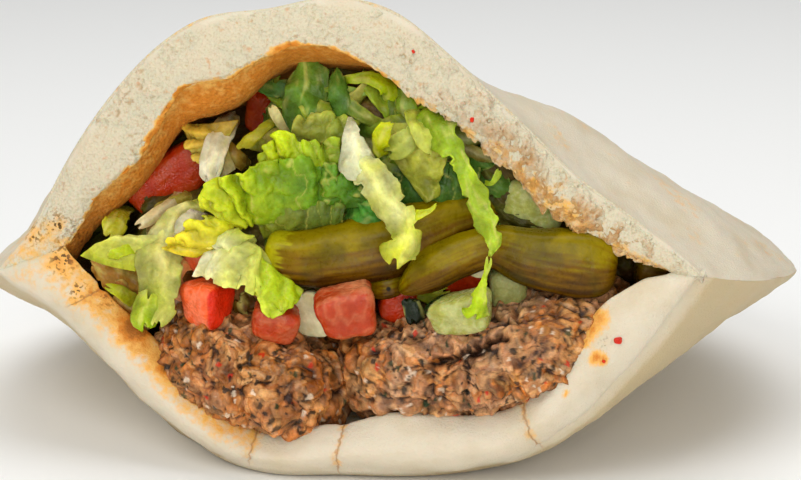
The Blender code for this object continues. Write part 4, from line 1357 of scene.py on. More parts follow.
@dataclass(frozen=True)
class Dice:
    """One diced piece of vegetable.

    Attributes:
        name: of the piece and of the node that it stands for.
        kind: what it is cut from.
        middle: its middle.
        size: its sides.
        turn: round x, y and z in degrees.
        skin: direction in the piece's own axes from which its skin shows, or zeros.
        squareness: 2 for a ball, and more for sharper edges.
        rows, columns: points from pole to pole and round it.
    """

    name: str
    kind: Vegetable
    middle: Place
    size: Place
    turn: Place
    skin: Place = (0.0, 0.0, 0.0)
    squareness: float = 4.8
    rows: int = 84
    columns: int = 112

    def shape(self) -> Shape:
        """A cube with rounded edges that leans to one corner, uneven as a knife leaves it.

        Each direction's distance is a root of one over the sum of its powers.

        Returns:
            The piece with its tint.
        """
        seed = sum(map(ord, self.name)) % 97
        down = np.linspace(0.02, np.pi - 0.02, self.rows)[:, None]
        around = 2 * np.pi * np.arange(self.columns)[None, :] / self.columns
        ray = places(np.sin(down) * np.cos(around), np.sin(down) * np.sin(around), np.cos(down))
        power = self.squareness
        unit = ray / (np.abs(ray) ** power).sum(axis=-1, keepdims=True) ** (1 / power)
        lean = 1 + unit @ np.array([0.13, -0.10, 0.12])
        local = unit * 0.5 * np.array(self.size) * lean[..., None] * 1.03
        local *= (1 + 0.085 * lumps(local, 5.0, seed) + 0.022 * fractal(local, 1.6, seed + 2))[..., None]
        turned = local
        for axis, angle in enumerate(np.radians(self.turn)):
            turned = turned @ rotation(axis, angle).T
        return ring_shape(turned + np.array(self.middle), tint=self.tint(unit, local, seed))

    def tint(self, unit: Array, local: Array, seed: int) -> Array:
        """Flesh with paler streaks, paler on some faces, and skin on one side.

        Args:
            unit: places on a cube of side 2.
            local: the same places at true size.
            seed: of the streaks.

        Returns:
            A linear colour at each place.
        """
        flesh, core, skin = (linear(c) for c in self.kind.value[1:])
        axis = np.abs(unit).argmax(axis=-1)
        positive = np.take_along_axis(unit, axis[..., None], -1)[..., 0] > 0
        face = hashed(places(axis, positive, 0), seed + 3)
        streaks = 1 - 3.2 * billow(warped(local, 3.0, 1.2, seed) * [1.0, 1.0, 0.45], 2.6, seed + 4)
        pale = ease(0.75 * face - 0.25 + 0.5 * fractal(local, 5.0, seed + 6))
        pale = pale + 0.4 * np.clip(streaks, 0, 1)
        tint = mixed(flesh, core, 0.75 * pale)
        facing = np.array(self.skin)
        if np.any(facing):
            side = unit @ (facing / norm(facing))
            tint = mixed(tint, skin, ease((side + 0.05 * lumps(local, 2.0, seed) - 0.8) / 0.08))
        return tint


# Flecks of chilli on the bread: x, z and size.
FLECKS = [(56, 31.5, 1.5), (53.5, 27, 0.7), (13.5, 87.5, 0.7), (25, 74.5, 0.9)]


def flecks(surface: Array) -> Shape:
    """Flecks of chilli on the front of the bread, each at the foremost of the points near its place.

    Args:
        surface: the bread's points.

    Returns:
        All of them as one shape.
    """
    shapes = []
    for number, (x, z, size) in enumerate(FLECKS):
        near = surface[np.hypot(surface[:, 0] - x, surface[:, 2] - z) < 0.8]
        middle = tuple(near[near[:, 1].argmin()])
        shapes.append(Dice(f"fleck_{number}", Vegetable.CHILLI, middle, (size, 0.8 * size, 0.7 * size),
                           (20, 30 * number, 0), rows=16, columns=20).shape())
    return Shape.joined(shapes)


# ---------------- leaves


# Pale parts of a leaf, and the greens and browns of the leaves pressed into the pocket, dark with painted
# shade, the last darkest.
FIBRE, RIB, VEIN = "#CBCE78", "#DCDDB4", "#CDD270"
BED_GREEN, BED_BROWN, BED_BRIGHT, BED_LOW = "#4E4A14", "#5A3A12", "#6E7A1E", "#3E2410"


def deepened(tint: Array) -> Array:
    """The own colours of leaves that look so in the light: greens deeper, and pale ones only darker."""
    pale = np.clip(1.5 * tint[..., 2] / np.maximum(tint[..., 1], 1e-3), 0.0, 1.0)
    return tint * mixed(np.array([0.82, 0.70, 0.50, 1.0]), np.array([0.86, 0.82, 0.84, 1.0]), pale)


@dataclass(frozen=True)
class Leaf:
    """One shred of lettuce or cabbage.

    Attributes:
        line: (x, y, z, width) along its middle, from its root.
        root, tip: colours at its root and tip.
        frill, wave: height and length of the waves at its edges in mm.
        torn: how far its outline is torn, as a share of the width.
        rib: how pale its midrib is, from 0 to 1.
        twist: turn from root to tip in degrees.
        thickness, crumple: its own and the height of its folds in mm.
        facing: the direction that it faces.
    """

    line: Points
    root: str
    tip: str
    frill: float = 1.0
    wave: float = 9.0
    torn: float = 0.16
    rib: float = 0.0
    twist: float = 0.0
    thickness: float = 0.4
    crumple: float = 1.0
    facing: Place = (0.17, -0.93, 0.32)

    def shape(self, seed: int, grain: float = 0.36) -> Shape:
        """The shred as a thin closed sheet with torn edges and ends.

        Across its middle line the sheet reaches half the width on each side, changed by noise for the
        torn edge, and noise across it draws in its ends. It is lifted by a sine wave that grows towards
        the edges, by folds and by the pockets between its veins, where billowed noise is high.

        Args:
            seed: of its waves and tears.
            grain: spacing of its points in mm.

        Returns:
            The closed sheet with its tint.
        """
        rough = np.array(self.line, float)
        reach = norm(np.diff(rough[:, :3], axis=0), axis=1).sum()
        t = np.linspace(0.0, 1.0, max(int(reach / grain), 10) + 1)[:, None]
        across = np.linspace(-1.0, 1.0, max(int(rough[:, 3].max() / grain), 6) + 1)[None, :]
        edge = np.abs(across)
        middle = smooth_line(self.line, t[:, 0])[:, :3]
        _, side, face = frames_along(middle, self.facing)
        lane = places(t * reach, 0, seed * 11.0)
        spin = np.radians(self.twist) * (t - 0.3) + 0.55 * lumps(lane, 8.0, seed + 23)
        side, face = side * np.cos(spin) + face * np.sin(spin), face * np.cos(spin) - side * np.sin(spin)
        wide = across * rough[:, 3].mean() / 2
        ends = places(wide, 0, seed * 3.0)
        drawn_in = np.clip(0.5 + fractal(ends, 2.6, seed + 2), 0, 1) * min(2.4 / reach, 0.3)
        line = smooth_line(self.line, t + drawn_in * ((1 - t) ** 4 - t**4))
        length = t * reach
        track = places(length, 9.0 * np.sign(across), seed * 5.0)
        bites = ease((lumps(track, 3.1, seed + 11) - 0.42) / 0.10)
        uneven = 1.3 * fractal(track, 6.0, seed) + 0.35 * lumps(track, 1.2, seed + 1)
        tear = 1 + self.torn * (uneven - 1.3 * bites)
        taper = 1 - 0.5 * np.abs(2 * t - 1) ** 14
        half = line[..., 3] / 2 * (1 + (tear - 1) * edge) * taper
        surface = line[..., :3] + side[:, None] * (across * half)[..., None]
        drift = lumps(track * [1, 0, 1], 9.0, seed + 3)
        wave = np.sin(2 * np.pi * (length / self.wave + 0.25 * across + drift * 0.9 + seed * 0.37))
        loose = 2.0 * lumps(track, self.wave * 0.6, seed + 19)
        waves = 0.4 * wave * (0.4 + 0.8 * edge**1.5) + 0.5 * loose * edge**1.6
        folds = 1.6 * billow(warped(surface, 4.0, 1.5, seed), 6.0, seed + 9) - 0.45
        crease = 0.42 * np.abs(across - 0.7 * lumps(lane, 6.0, seed + 27)) * half - 0.5
        pocket = billow(warped(surface, 1.6, 0.6, seed + 21), 1.7, seed + 5)
        scale = np.minimum(line[..., 3] / 5.0, 1.0)
        grain_line = places(0.22 * length, across * line[..., 3] / 2, seed * 2.0)
        fibres = fractal(grain_line, 1.2, seed + 33, 2)
        lift = scale * (self.frill * waves + self.crumple * (0.6 * folds - crease) + 0.16 * fibres
                        + 0.06 * (pocket - 0.25))
        surface = surface + face[:, None] * lift[..., None]
        normal = grid_normals(surface, False)
        thick = self.thickness / 2 * (1 + 0.9 * self.rib * bell(across / 0.25))
        tint = self.tint(surface, t, across, lift / max(self.frill, 0.5), fibres, seed)
        return sheet_shape(surface, normal * thick[..., None], tint)

    def tint(self, surface: Array, t: Array, across: Array, lift: Array,
             fibres: Array, seed: int) -> Array:
        """Root to tip in blotches, with pale veins and rib, painted light on its torn edge and ridges, and
        painted shade in its hollows.

        Args:
            surface: its places.
            t: the share along it.
            across: from -1 to 1 across it.
            lift: its height, as a share of its waves.
            fibres: lengthwise noise.
            seed: of its blotches.

        Returns:
            A linear colour for each point, as a list.
        """
        fade = ease(t + 0.34 * fractal(surface, 6.0, seed + 7))
        tint = mixed(linear(self.root), linear(self.tip), fade)
        tint = mixed(tint, linear(FIBRE), 0.5 * ease(fibres * 1.6 - 0.1))
        tint = mixed(tint, linear(RIB), self.rib * bell(across / 0.32) * (1 - 0.6 * t))
        # Painted light on the ridges and the torn edge, and painted shade in the hollows.
        shade = 1 + 0.26 * np.clip(lift, -1.4, 1.4) + 0.16 * fractal(surface, 2.2, seed + 17)
        shade = shade * (1 + 0.28 * np.abs(across) ** 10)
        return deepened(tint * np.clip(shade, 0.3, 1.6)[..., None]).reshape(-1, 4)


@dataclass(frozen=True)
class Ruffle:
    """A broad crumpled piece of leaf, a fan of pleats between an inner and an outer edge.

    Attributes:
        inner, outer: (x, y, z) along its two edges.
        colours: along it, at even steps.
        pleats, depth: how many there are, and their height at the outer edge in mm.
        torn, thickness: how deep the outer edge is torn, and how thick it is, in mm.
    """

    inner: Points
    outer: Points
    colours: tuple[str, ...]
    pleats: float
    depth: float
    torn: float
    thickness: float = 0.4

    def shape(self, seed: int, grain: float = 0.34) -> Shape:
        """The piece as a thin closed sheet.

        The sheet blends from the inner to the outer edge and bulges a little towards the front. It is
        lifted by a wave whose corners are half sharp, by smaller waves near the outer edge and by the
        pockets between its veins. The veins run along the pleats and fork into noise.

        Args:
            seed: of its pleats and tears.
            grain: spacing of its points in mm.

        Returns:
            The closed sheet with its tint.
        """
        length = norm(np.diff(np.array(self.outer), axis=0), axis=1).sum() * 1.05
        width = norm(np.array(self.outer) - np.array(self.inner), axis=1).max()
        v = np.linspace(0.0, 1.0, int(1.3 * length / grain) + 2)[None, :]
        u = np.linspace(0.0, 1.0, int(1.1 * width / grain) + 2)[:, None]
        rim = places(v[0] * length, 0, 7.0 * seed)
        ragged = 0.7 * fractal(rim, 5.0, seed) + 0.5 * lumps(rim, 1.8, seed + 1)
        ragged -= 1.1 * ease((lumps(rim, 2.6, seed + 2) - 0.3) / 0.1)
        reach = 1 + self.torn / width * ragged[None]
        both = smooth_line(np.hstack([self.outer, self.inner]), v[0])
        outer, inner = both[:, :3], both[:, 3:]
        surface = inner[None] + (outer - inner)[None] * (u * reach)[..., None]
        surface[..., 1] -= 1.4 * np.sin(np.pi * u) * np.ones_like(v)
        normal = grid_normals(surface, False)
        normal *= np.sign(-normal[..., 1].mean())
        along = places(v * length, 3.0 * u, 5.0 * seed)
        drift = 1.5 * lumps(along, 11.0, seed + 3) + 0.5 * fractal(surface, 5.0, seed + 4)
        phase = 2 * np.pi * (self.pleats * v + drift + 0.17 * seed)
        sharp = np.arcsin(0.97 * np.sin(phase)) * 2 / np.pi
        small = 0.4 * np.sin(2.6 * phase + 3.0 * drift)
        pocket = billow(warped(surface, 1.8, 0.7, seed + 21), 1.9, seed + 5)
        height = np.clip(0.7 + 1.1 * lumps(along, 7.0, seed + 13), 0.15, 1.5)
        pleat = (0.2 + 0.8 * u) * (0.7 * sharp + 0.3 * np.sin(phase))
        lift = self.depth * height * (pleat + 0.25 * u**2 * small)
        lift += 0.3 * self.depth * (billow(warped(surface, 4.0, 2.0, seed + 31), 6.5, seed + 9) - 0.28)
        surface = surface + normal * (lift + 0.05 * (pocket - 0.25))[..., None]
        offset = grid_normals(surface, False) * self.thickness / 2
        table = np.array([*map(linear, self.colours)])
        place = (v + 0.12 * fractal(surface, 5.0, seed + 7)) * (len(table) - 1)
        tint = np.stack([np.interp(place, np.arange(len(table)), c) for c in table.T], axis=-1)
        veins = bell(np.abs(np.sin(phase / 2)) / 0.10)
        veins = veins + 0.15 * ease((0.05 - pocket) / 0.05)
        tint = mixed(tint, linear(VEIN), 0.55 * veins)
        # Painted light on the pleats' crests and at the outer edge, and painted shade in their hollows.
        shade = 1 + 0.5 * lift / self.depth + 0.14 * fractal(surface, 2.2, seed + 17) + 0.3 * u**8
        tint = deepened(tint * np.clip(shade, 0.3, 1.6)[..., None]).reshape(-1, 4)
        return sheet_shape(surface, offset, tint)


@dataclass(frozen=True)
class SaladBed:
    """The mass of leaves that fills the pocket behind the shreds, dark with painted shade, and the shreds
    themselves.

    Attributes:
        bread: whose pocket it fills.
        rings, columns: how many on the mass's front, and points in each.
        shred_count, palette: how many shreds lie on it at random, and their colours.
    """

    bread: PitaBread
    rings: int = 150
    columns: int = 260
    shred_count: int = 110
    palette: tuple[str, ...] = ("#6E8E20", "#8CA430", "#4E7A2A", "#A2B044", "#78A028", "#3E6A2A",
                                "#A8A058", "#746E2A")

    def front(self, x: Array, z: Array) -> Array:
        """How far back the bed's front stands: a sum of smooth steps.

        Args:
            x: along the mouth.
            z: the height.

        Returns:
            y, larger at the upper left, in both corners, under the roof and beside the koftas.
        """
        left = ease((-8 - x) / 22) * ease((z - 50) / 16)
        right = ease((x - 38) / 16)
        roof = ease((z - 72) / 12)
        beside_kofta = ease((38 - z) / 12)
        corner = ease((-45 - x) / 8) * ease((z - 36) / 6)
        return 5.0 + 24.0 * left + 12.0 * right + 9.0 * roof + 50.0 * beside_kofta + 16.0 * corner

    def core(self) -> Shape:
        """Its body: a lumpy front that meets the pocket's wall, and then follows the wall to its end.

        Returns:
            The closed surface with its tint.
        """
        angle = 2 * np.pi * np.arange(self.columns) / self.columns
        out = np.linspace(0.02, 1.0, self.rings)[:, None] ** 0.8
        depth = np.full((self.rings, self.columns), 8.0)
        for _ in range(4):
            wall = self.bread.wall(angle[None, :] + 0 * depth, depth)
            middle = np.array([2.0, 0.0, 50.0])
            place = middle + (wall - middle) * out[..., None] * [1, 0, 1]
            depth = np.clip(self.front(place[..., 0], place[..., 2]), 2.0, 110.0)
        place[..., 1] = depth
        folds = 2.6 * np.abs(fractal(place, 8.0, 61, 4)) + 1.2 * fractal(place, 3.2, 67)
        place[..., 1] += folds
        behind = np.linspace(0.0, 1.0, 24)[1:, None]
        back_depth = depth[-1][None] + (121.0 - depth[-1][None]) * behind
        shell = self.bread.wall(angle[None, :] + 0 * back_depth, back_depth)
        rings = np.concatenate([place, shell])
        centre = rings.mean(axis=1, keepdims=True)
        rings = centre + (rings - centre) * 0.985
        # Painted shade: the bed is dark for the shade deep in the pocket, and darker still low down beside
        # the koftas.
        tint = mixed(linear(BED_GREEN), linear(BED_BROWN), ease(0.5 + 0.7 * fractal(rings, 10.0, 71)))
        tint = mixed(tint, linear(BED_BRIGHT), ease(fractal(rings, 6.0, 73) * 1.2))
        tint = mixed(tint, linear(BED_LOW), ease((44 - rings[..., 2]) / 8))
        return ring_shape(rings, tint=tint)

    def shreds(self) -> Shape:
        """Shreds that lie at random over the bed's front, all from one seeded draw.

        Returns:
            All of them as one shape.
        """
        draw = np.random.default_rng(7)
        shapes = []
        while len(shapes) < self.shred_count:
            x = draw.uniform(-50, 62)
            z = draw.uniform(41, 84)
            roof = curve_through(self.bread.roof_crumb, np.array([x]))[0]
            if z > roof - 4.0 or x < -16 or (x > 24 and z < 64) or z > 76:
                continue
            y = float(self.front(np.array(x), np.array(z))) + draw.uniform(-1.5, 1.5)
            turn = draw.uniform(0, 2 * np.pi)
            reach = draw.uniform(7, 14)
            step = np.array([np.cos(turn), 0.0, 0.75 * np.sin(turn)]) * reach
            bend = draw.uniform(-4, 4)
            width = draw.uniform(2.5, 5.5)
            points = [(x - step[0], y + 6, z - step[2], width * 0.8),
                      (x - step[0] * 0.4 + bend * 0.3, y + 0.5, z - step[2] * 0.4 + bend * 0.4, width),
                      (x + step[0] * 0.35 + bend * 0.4, y - 0.5, z + step[2] * 0.35, width),
                      (x + step[0], y + 3.5, z + step[2], width * 0.4)]
            first, second = draw.choice(len(self.palette), 2)
            leaf = Leaf(points, self.palette[first], self.palette[second], frill=draw.uniform(0.6, 1.5),
                        wave=draw.uniform(5, 9), rib=float(draw.uniform() > 0.7) * 0.4,
                        twist=draw.uniform(-80, 80), torn=0.25)
            shapes.append(leaf.shape(int(draw.integers(1, 900)), 0.6))
        return Shape.joined(shapes)

    def build(self, materials: dict[str, Material]) -> None:
        """Adds the core, the random shreds and the pieces that the photograph shows one by one.

        Args:
            materials: of the leaves in painted shade and of the lettuce, by name.
        """
        new_piece("salad_core", self.core(), materials["leaves_in_painted_shade"], ("salad",))
        wet_leaf = materials["lettuce"]
        new_piece("lettuce_shreds", self.shreds(), wet_leaf)
        for name, pieces, slot, step, first in (
                ("lettuce_leaves", LEAVES, "lettuce", 3, 1), ("lettuce_ruffles", RUFFLES, "lettuce", 5, 2),
                ("onion_shreds", SHREDS, "onion", 7, 3)):
            shapes = [piece.shape(number * step + first) for number, piece in enumerate(pieces.values())]
            new_piece(name, Shape.joined(shapes), wet_leaf)


# ---------------- the pieces that the photograph shows


LEAVES = {
    "left_leaf_fold": Leaf(
        [(-43, -4, 45.5, 1.5), (-44.5, -7, 45.5, 2.5), (-47, -8, 45, 2.5), (-49, -8, 43.5, 1.5)], "#A9C81C",
        "#B4CC20", frill=0.6, wave=5.0),
    "left_hanging": Leaf(
        [(-41, 8, 49.5, 6), (-38.5, -4, 48, 8), (-38, -8, 43.5, 9), (-38, -10, 37.5, 9),
        (-38.5, -11, 30.5, 6.5)], "#D2C88C", "#B8C850", frill=0.35, crumple=0.7, torn=0.1),
    "left_hanging_tip": Leaf(
        [(-39.5, -9.4, 38.5, 3), (-40, -10.8, 35.5, 5.5), (-40.3, -11.5, 32.5, 6), (-40, -11.7, 29.5, 3)],
        "#B2C83C", "#98C010", frill=0.4),
    "left_arm": Leaf(
        [(-31.5, 12, 53, 3.5), (-32.5, 1, 53, 3.5), (-35.5, -2, 51, 5.5), (-38, -4, 47.5, 6),
        (-40.5, -5, 44, 4.5)], "#B7C832", "#CFCB88", frill=0.5, rib=0.35),
    "left_lilac": Leaf(
        [(-32.5, 6, 51, 3), (-32, -4, 52, 3.5), (-33, -6, 51, 3.5), (-34.5, -7, 49, 2)], "#D3C7B0", "#C9C79C",
        frill=0.4, rib=0.3),
    "left_rib": Leaf(
        [(-38, 14, 53.5, 2.5), (-39, 3, 52.5, 2.5), (-42, 0, 50.5, 2.5), (-45.5, -2, 48.5, 1.5)], "#B39C5C",
        "#D2C494", frill=0.2, rib=0.6, thickness=1.1),
    "left_olive": Leaf(
        [(-36, 16, 53.5, 2.5), (-37, 5, 53, 3.5), (-39.5, 3, 51.5, 4.5), (-42.5, 2, 49, 3)], "#8F8430",
        "#A39A3E", frill=0.5),
    "small_yellow": Leaf(
        [(-50.5, 14, 49.5, 3), (-49.5, 4, 50, 4), (-49.5, 0, 49, 5.5), (-51, -2, 47, 3.5)], "#A8AC20",
        "#B6BC2A", frill=0.4, crumple=0.3),
    "brown_fill_one": Leaf(
        [(-54.5, 0, 41.5, 4.5), (-50, -1, 38.5, 6), (-44, 1, 35, 7)], "#A8782C", "#A88434", frill=0.8),
    "brown_fill_two": Leaf(
        [(-50, -2, 37, 4), (-45.5, -1, 32.5, 6), (-39, 1, 28.5, 7)], "#A8702C", "#8A5A24", frill=0.8),
    "brown_fill_three": Leaf(
        [(-36, 2, 40, 5), (-34, 3, 36, 6), (-31, 4, 31, 5)], "#8A5A24", "#6A4218", frill=0.8),
    "left_low": Leaf(
        [(-44, 6, 30, 3), (-46, -2, 34, 3), (-48, -4, 36, 2.5), (-51, -5, 37.5, 1)], "#B6BE3A", "#A6B818",
        frill=0.4),
    "yellow_drop": Leaf(
        [(-27.5, -4, 48.5, 2.5), (-28, -8, 48, 3.5), (-29, -9, 46.5, 2.5)], "#E2D010", "#E8DE60", frill=0.7,
        wave=4.0, torn=0.3),
    "hanging_tail": Leaf(
        [(-25, -2, 46, 5.5), (-20.5, -7, 45, 8), (-17, -10, 43, 8), (-14.5, -11, 40, 5.5),
        (-12, -12, 37.5, 3.5), (-11.5, -12, 35, 1)], "#CDDC6E", "#B4D41C", frill=1.0, wave=6.0, torn=0.22),
    "dark_low": Leaf(
        [(-5.5, 6, 49, 4), (0.5, -2, 52, 6.5), (4.5, -4, 54.5, 7), (7.5, -3, 56.5, 3.5)], "#447C30",
        "#4E9838", frill=1.2, wave=5.0, torn=0.25),
    "over_pale": Leaf(
        [(-4, 14, 66.5, 3.5), (-5, 5, 69, 6), (-8, 3, 70, 7.5), (-11, 3, 69.5, 5.5)], "#A0B04A", "#B0BC58",
        frill=1.0, wave=7.0),
    "arm": Leaf(
        [(-16.5, 12, 70.5, 1.5), (-18, 5, 70, 2), (-20.5, 3, 68, 2.5), (-23.5, 3, 65, 3)], "#9AA424",
        "#A8A826", frill=0.4),
    "pale_ring": Leaf(
        [(-14, 12, 65.5, 1), (-14.5, 4, 70, 1.5), (-16, 3, 73, 2), (-17, 4, 74, 1.5)], "#C4BC72", "#CFC98A",
        frill=0.2, rib=0.4, thickness=1.0),
    "rib": Leaf(
        [(-29, 20, 68.5, 4), (-28, 8, 68, 4.5), (-28.5, 4, 65.5, 5), (-29, 2, 62.5, 5), (-29, 1, 57, 4)],
        "#B49A40", "#E4E0BC", frill=0.1, crumple=0.4, torn=0.06, rib=0.6, thickness=1.6),
    "cabbage_low": Leaf(
        [(-24, 14, 59, 2.5), (-25, 8, 62, 3.5), (-27.5, 8, 64, 3.5), (-30.5, 9, 64.5, 2.5)], "#A48A34",
        "#8E6E26", frill=0.4),
    "tall_leaf": Leaf(
        [(-12.5, 8, 64, 4.5), (-11.5, 5, 69.5, 7), (-10.5, 5, 74.5, 9), (-10, 7, 79, 9), (-11, 10, 83.5, 6)],
        "#5E8E2A", "#6C9A34", frill=0.5, wave=12.0, crumple=0.7, torn=0.1),
    "tall_side": Leaf(
        [(-10.5, 18, 62.5, 3.5), (-7.5, 10, 69, 4.5), (-7, 10, 73.5, 4.5), (-8, 11, 77, 2.5)], "#4E7C2C",
        "#5A8A30", frill=0.6),
    "stem": Leaf(
        [(-10, 12, 75, 1), (-5, 7, 77.5, 1), (-0.5, 6, 77.5, 1.5), (3, 6, 76, 2)], "#6E9434", "#7DA03A",
        frill=0.3, thickness=0.8),
    "curl": Leaf(
        [(-6, 12, 78, 1), (-0.5, 6, 80, 2), (3.5, 5, 80.5, 3), (6, 5, 79.5, 4), (7, 6, 77.5, 3.5),
        (4.5, 8, 75, 3)], "#8FB024", "#A2C014", frill=0.8, wave=6.0),
    "under_curl": Leaf(
        [(-2, 14, 65.5, 3), (0.5, 8, 70.5, 4.5), (2, 8, 73.5, 5.5), (1, 9, 76, 3)], "#5A7A26", "#5E8230",
        frill=0.6),
    "far_right": Leaf(
        [(17, 18, 63.5, 3), (17.5, 6, 69.5, 5), (15.5, 5, 73.5, 6), (13.5, 6, 76.5, 4.5)], "#86A62A",
        "#8FB42A", frill=0.8),
    "drip": Leaf(
        [(11, 8, 71.5, 2), (13, 3, 70.5, 3), (14, 1, 68.5, 2.5), (14.5, 0, 66.5, 1)], "#A6CC1E", "#DCE8B0",
        frill=0.4),
    "white_strip": Leaf(
        [(-0.5, 4, 72.5, 1), (0.5, -1, 72, 2), (1.5, -4, 69.5, 4.5), (2.5, -6, 66.5, 6.5),
        (4.5, -8, 63, 6.5)], "#DADCB4", "#DCE0B0", frill=0.6, wave=8.0, rib=0.35, torn=0.2),
    "lime_strip": Leaf(
        [(1, -3, 67, 3), (4, -7.5, 65, 6.5), (7, -9, 62, 7), (10, -10, 58, 7), (12.5, -10.5, 54.5, 6.5),
        (13.5, -11, 50.5, 6.5), (12, -12, 47.5, 7), (11.5, -12, 45.5, 4.5)], "#E2E8A4", "#CFE03C", frill=0.6,
        wave=8.0, torn=0.3, crumple=1.4),
    "strip_point": Leaf(
        [(12.5, -8, 55.5, 2), (15.5, -10, 56, 2), (18, -10, 57, 1), (20, -9, 59, 0.5)], "#B8CC24", "#B4C81E",
        frill=0.2),
    "branch": Leaf(
        [(7, 2, 65, 2), (7, -3, 68.5, 3.5), (8, -4, 72, 3), (10, -3, 74, 1)], "#BCD40E", "#C2D61A", frill=0.6,
        torn=0.25),
    "olive_fold": Leaf(
        [(16, 6, 70.5, 2), (13, -1, 70.5, 4), (10, -2, 68, 5), (7, -1, 66, 2.5)], "#B8C868", "#A6B84C",
        frill=0.3, crumple=0.3),
    "bright_strip": Leaf(
        [(13, 12, 75.5, 5), (17, 0, 74, 7), (20, -4, 70.5, 6), (23, -6, 67, 4.5), (25.5, -8, 63, 4),
        (27, -9, 59, 4.5), (29.5, -11, 55.5, 5.5), (31, -12, 52, 3.5), (30.5, -13, 49, 1.2)], "#86AC24",
        "#A6CA34", frill=0.8, wave=9.0, torn=0.42, crumple=0.9),
    "bright_side": Leaf(
        [(12, 10, 76, 3), (13.5, 0, 73, 4), (16, -3, 69.5, 3.5), (17.5, -3, 66.5, 1.5)], "#A8C23C", "#BCCB5C",
        frill=0.5),
    "bright_tail": Leaf(
        [(30.5, -13, 50, 1.5), (30, -13.5, 46.5, 1.2), (29.3, -14, 43, 2), (28.5, -14, 40, 4),
        (27.5, -14, 37.5, 5), (27, -14, 35.5, 3)], "#B0D030", "#A4CA12", frill=0.7, torn=0.3),
    "right_curl": Leaf(
        [(27, 2, 60.5, 1), (29, 0, 61, 1), (30, 0, 62.5, 1.5), (30.5, 1, 64, 1)], "#9ABC2A", "#A8C840",
        frill=0.2),
    "right_dark": Leaf(
        [(22.5, 14, 60, 3.5), (26.5, 6, 61, 5.5), (29.5, 5, 59.5, 6), (32.5, 6, 58, 3)], "#46722A", "#557F32",
        frill=0.8),
    "low_green": Leaf(
        [(9, 8, 36, 2), (13.5, 2, 37, 3), (17, 1, 37, 3), (21, 1, 38.5, 1.5)], "#7E9A1E", "#A0AC22",
        frill=0.6, torn=0.3),
    "low_green_two": Leaf(
        [(18, 6, 33, 2), (22, 0, 36.5, 2.5), (24.5, 0, 37.5, 2), (27, 1, 36.5, 1)], "#9AA832", "#8A9A28",
        frill=0.5, torn=0.3),
}

SHREDS = {
    "onion_ring": Leaf(
        [(-31.5, -2, 41.5, 2), (-34, -4, 42, 3), (-35.5, -5, 39.5, 3), (-34.5, -5, 36.5, 3),
        (-32, -4, 35.5, 2)], "#E09A5C", "#D8A070", frill=0.2, thickness=0.9),
    "fried_strip": Leaf(
        [(-23.5, -2, 35.5, 3.5), (-22, -2, 34, 5), (-20, -2, 32, 3.5)], "#7A5A1C", "#5E4014", frill=0.3,
        thickness=0.9),
    "onion_white": Leaf(
        [(24.5, -3, 45, 2.5), (27, -4, 44, 3), (29, -3, 43, 2)], "#D8D2B4", "#C8C090", frill=0.3,
        thickness=0.7),
    "cucumber_skin": Leaf(
        [(12.5, -3, 37.5, 3), (13.5, -3, 34.5, 3.5), (14, -3, 31.5, 3)], "#1A2A12", "#141E10", frill=0.1,
        thickness=1.4),
    "pepper_shadow": Leaf(
        [(24.5, 2, 44, 4), (30.5, 2, 42.5, 5.5), (36.5, 3, 40.5, 5)], "#4A3008", "#3A2408", frill=0.4),
}

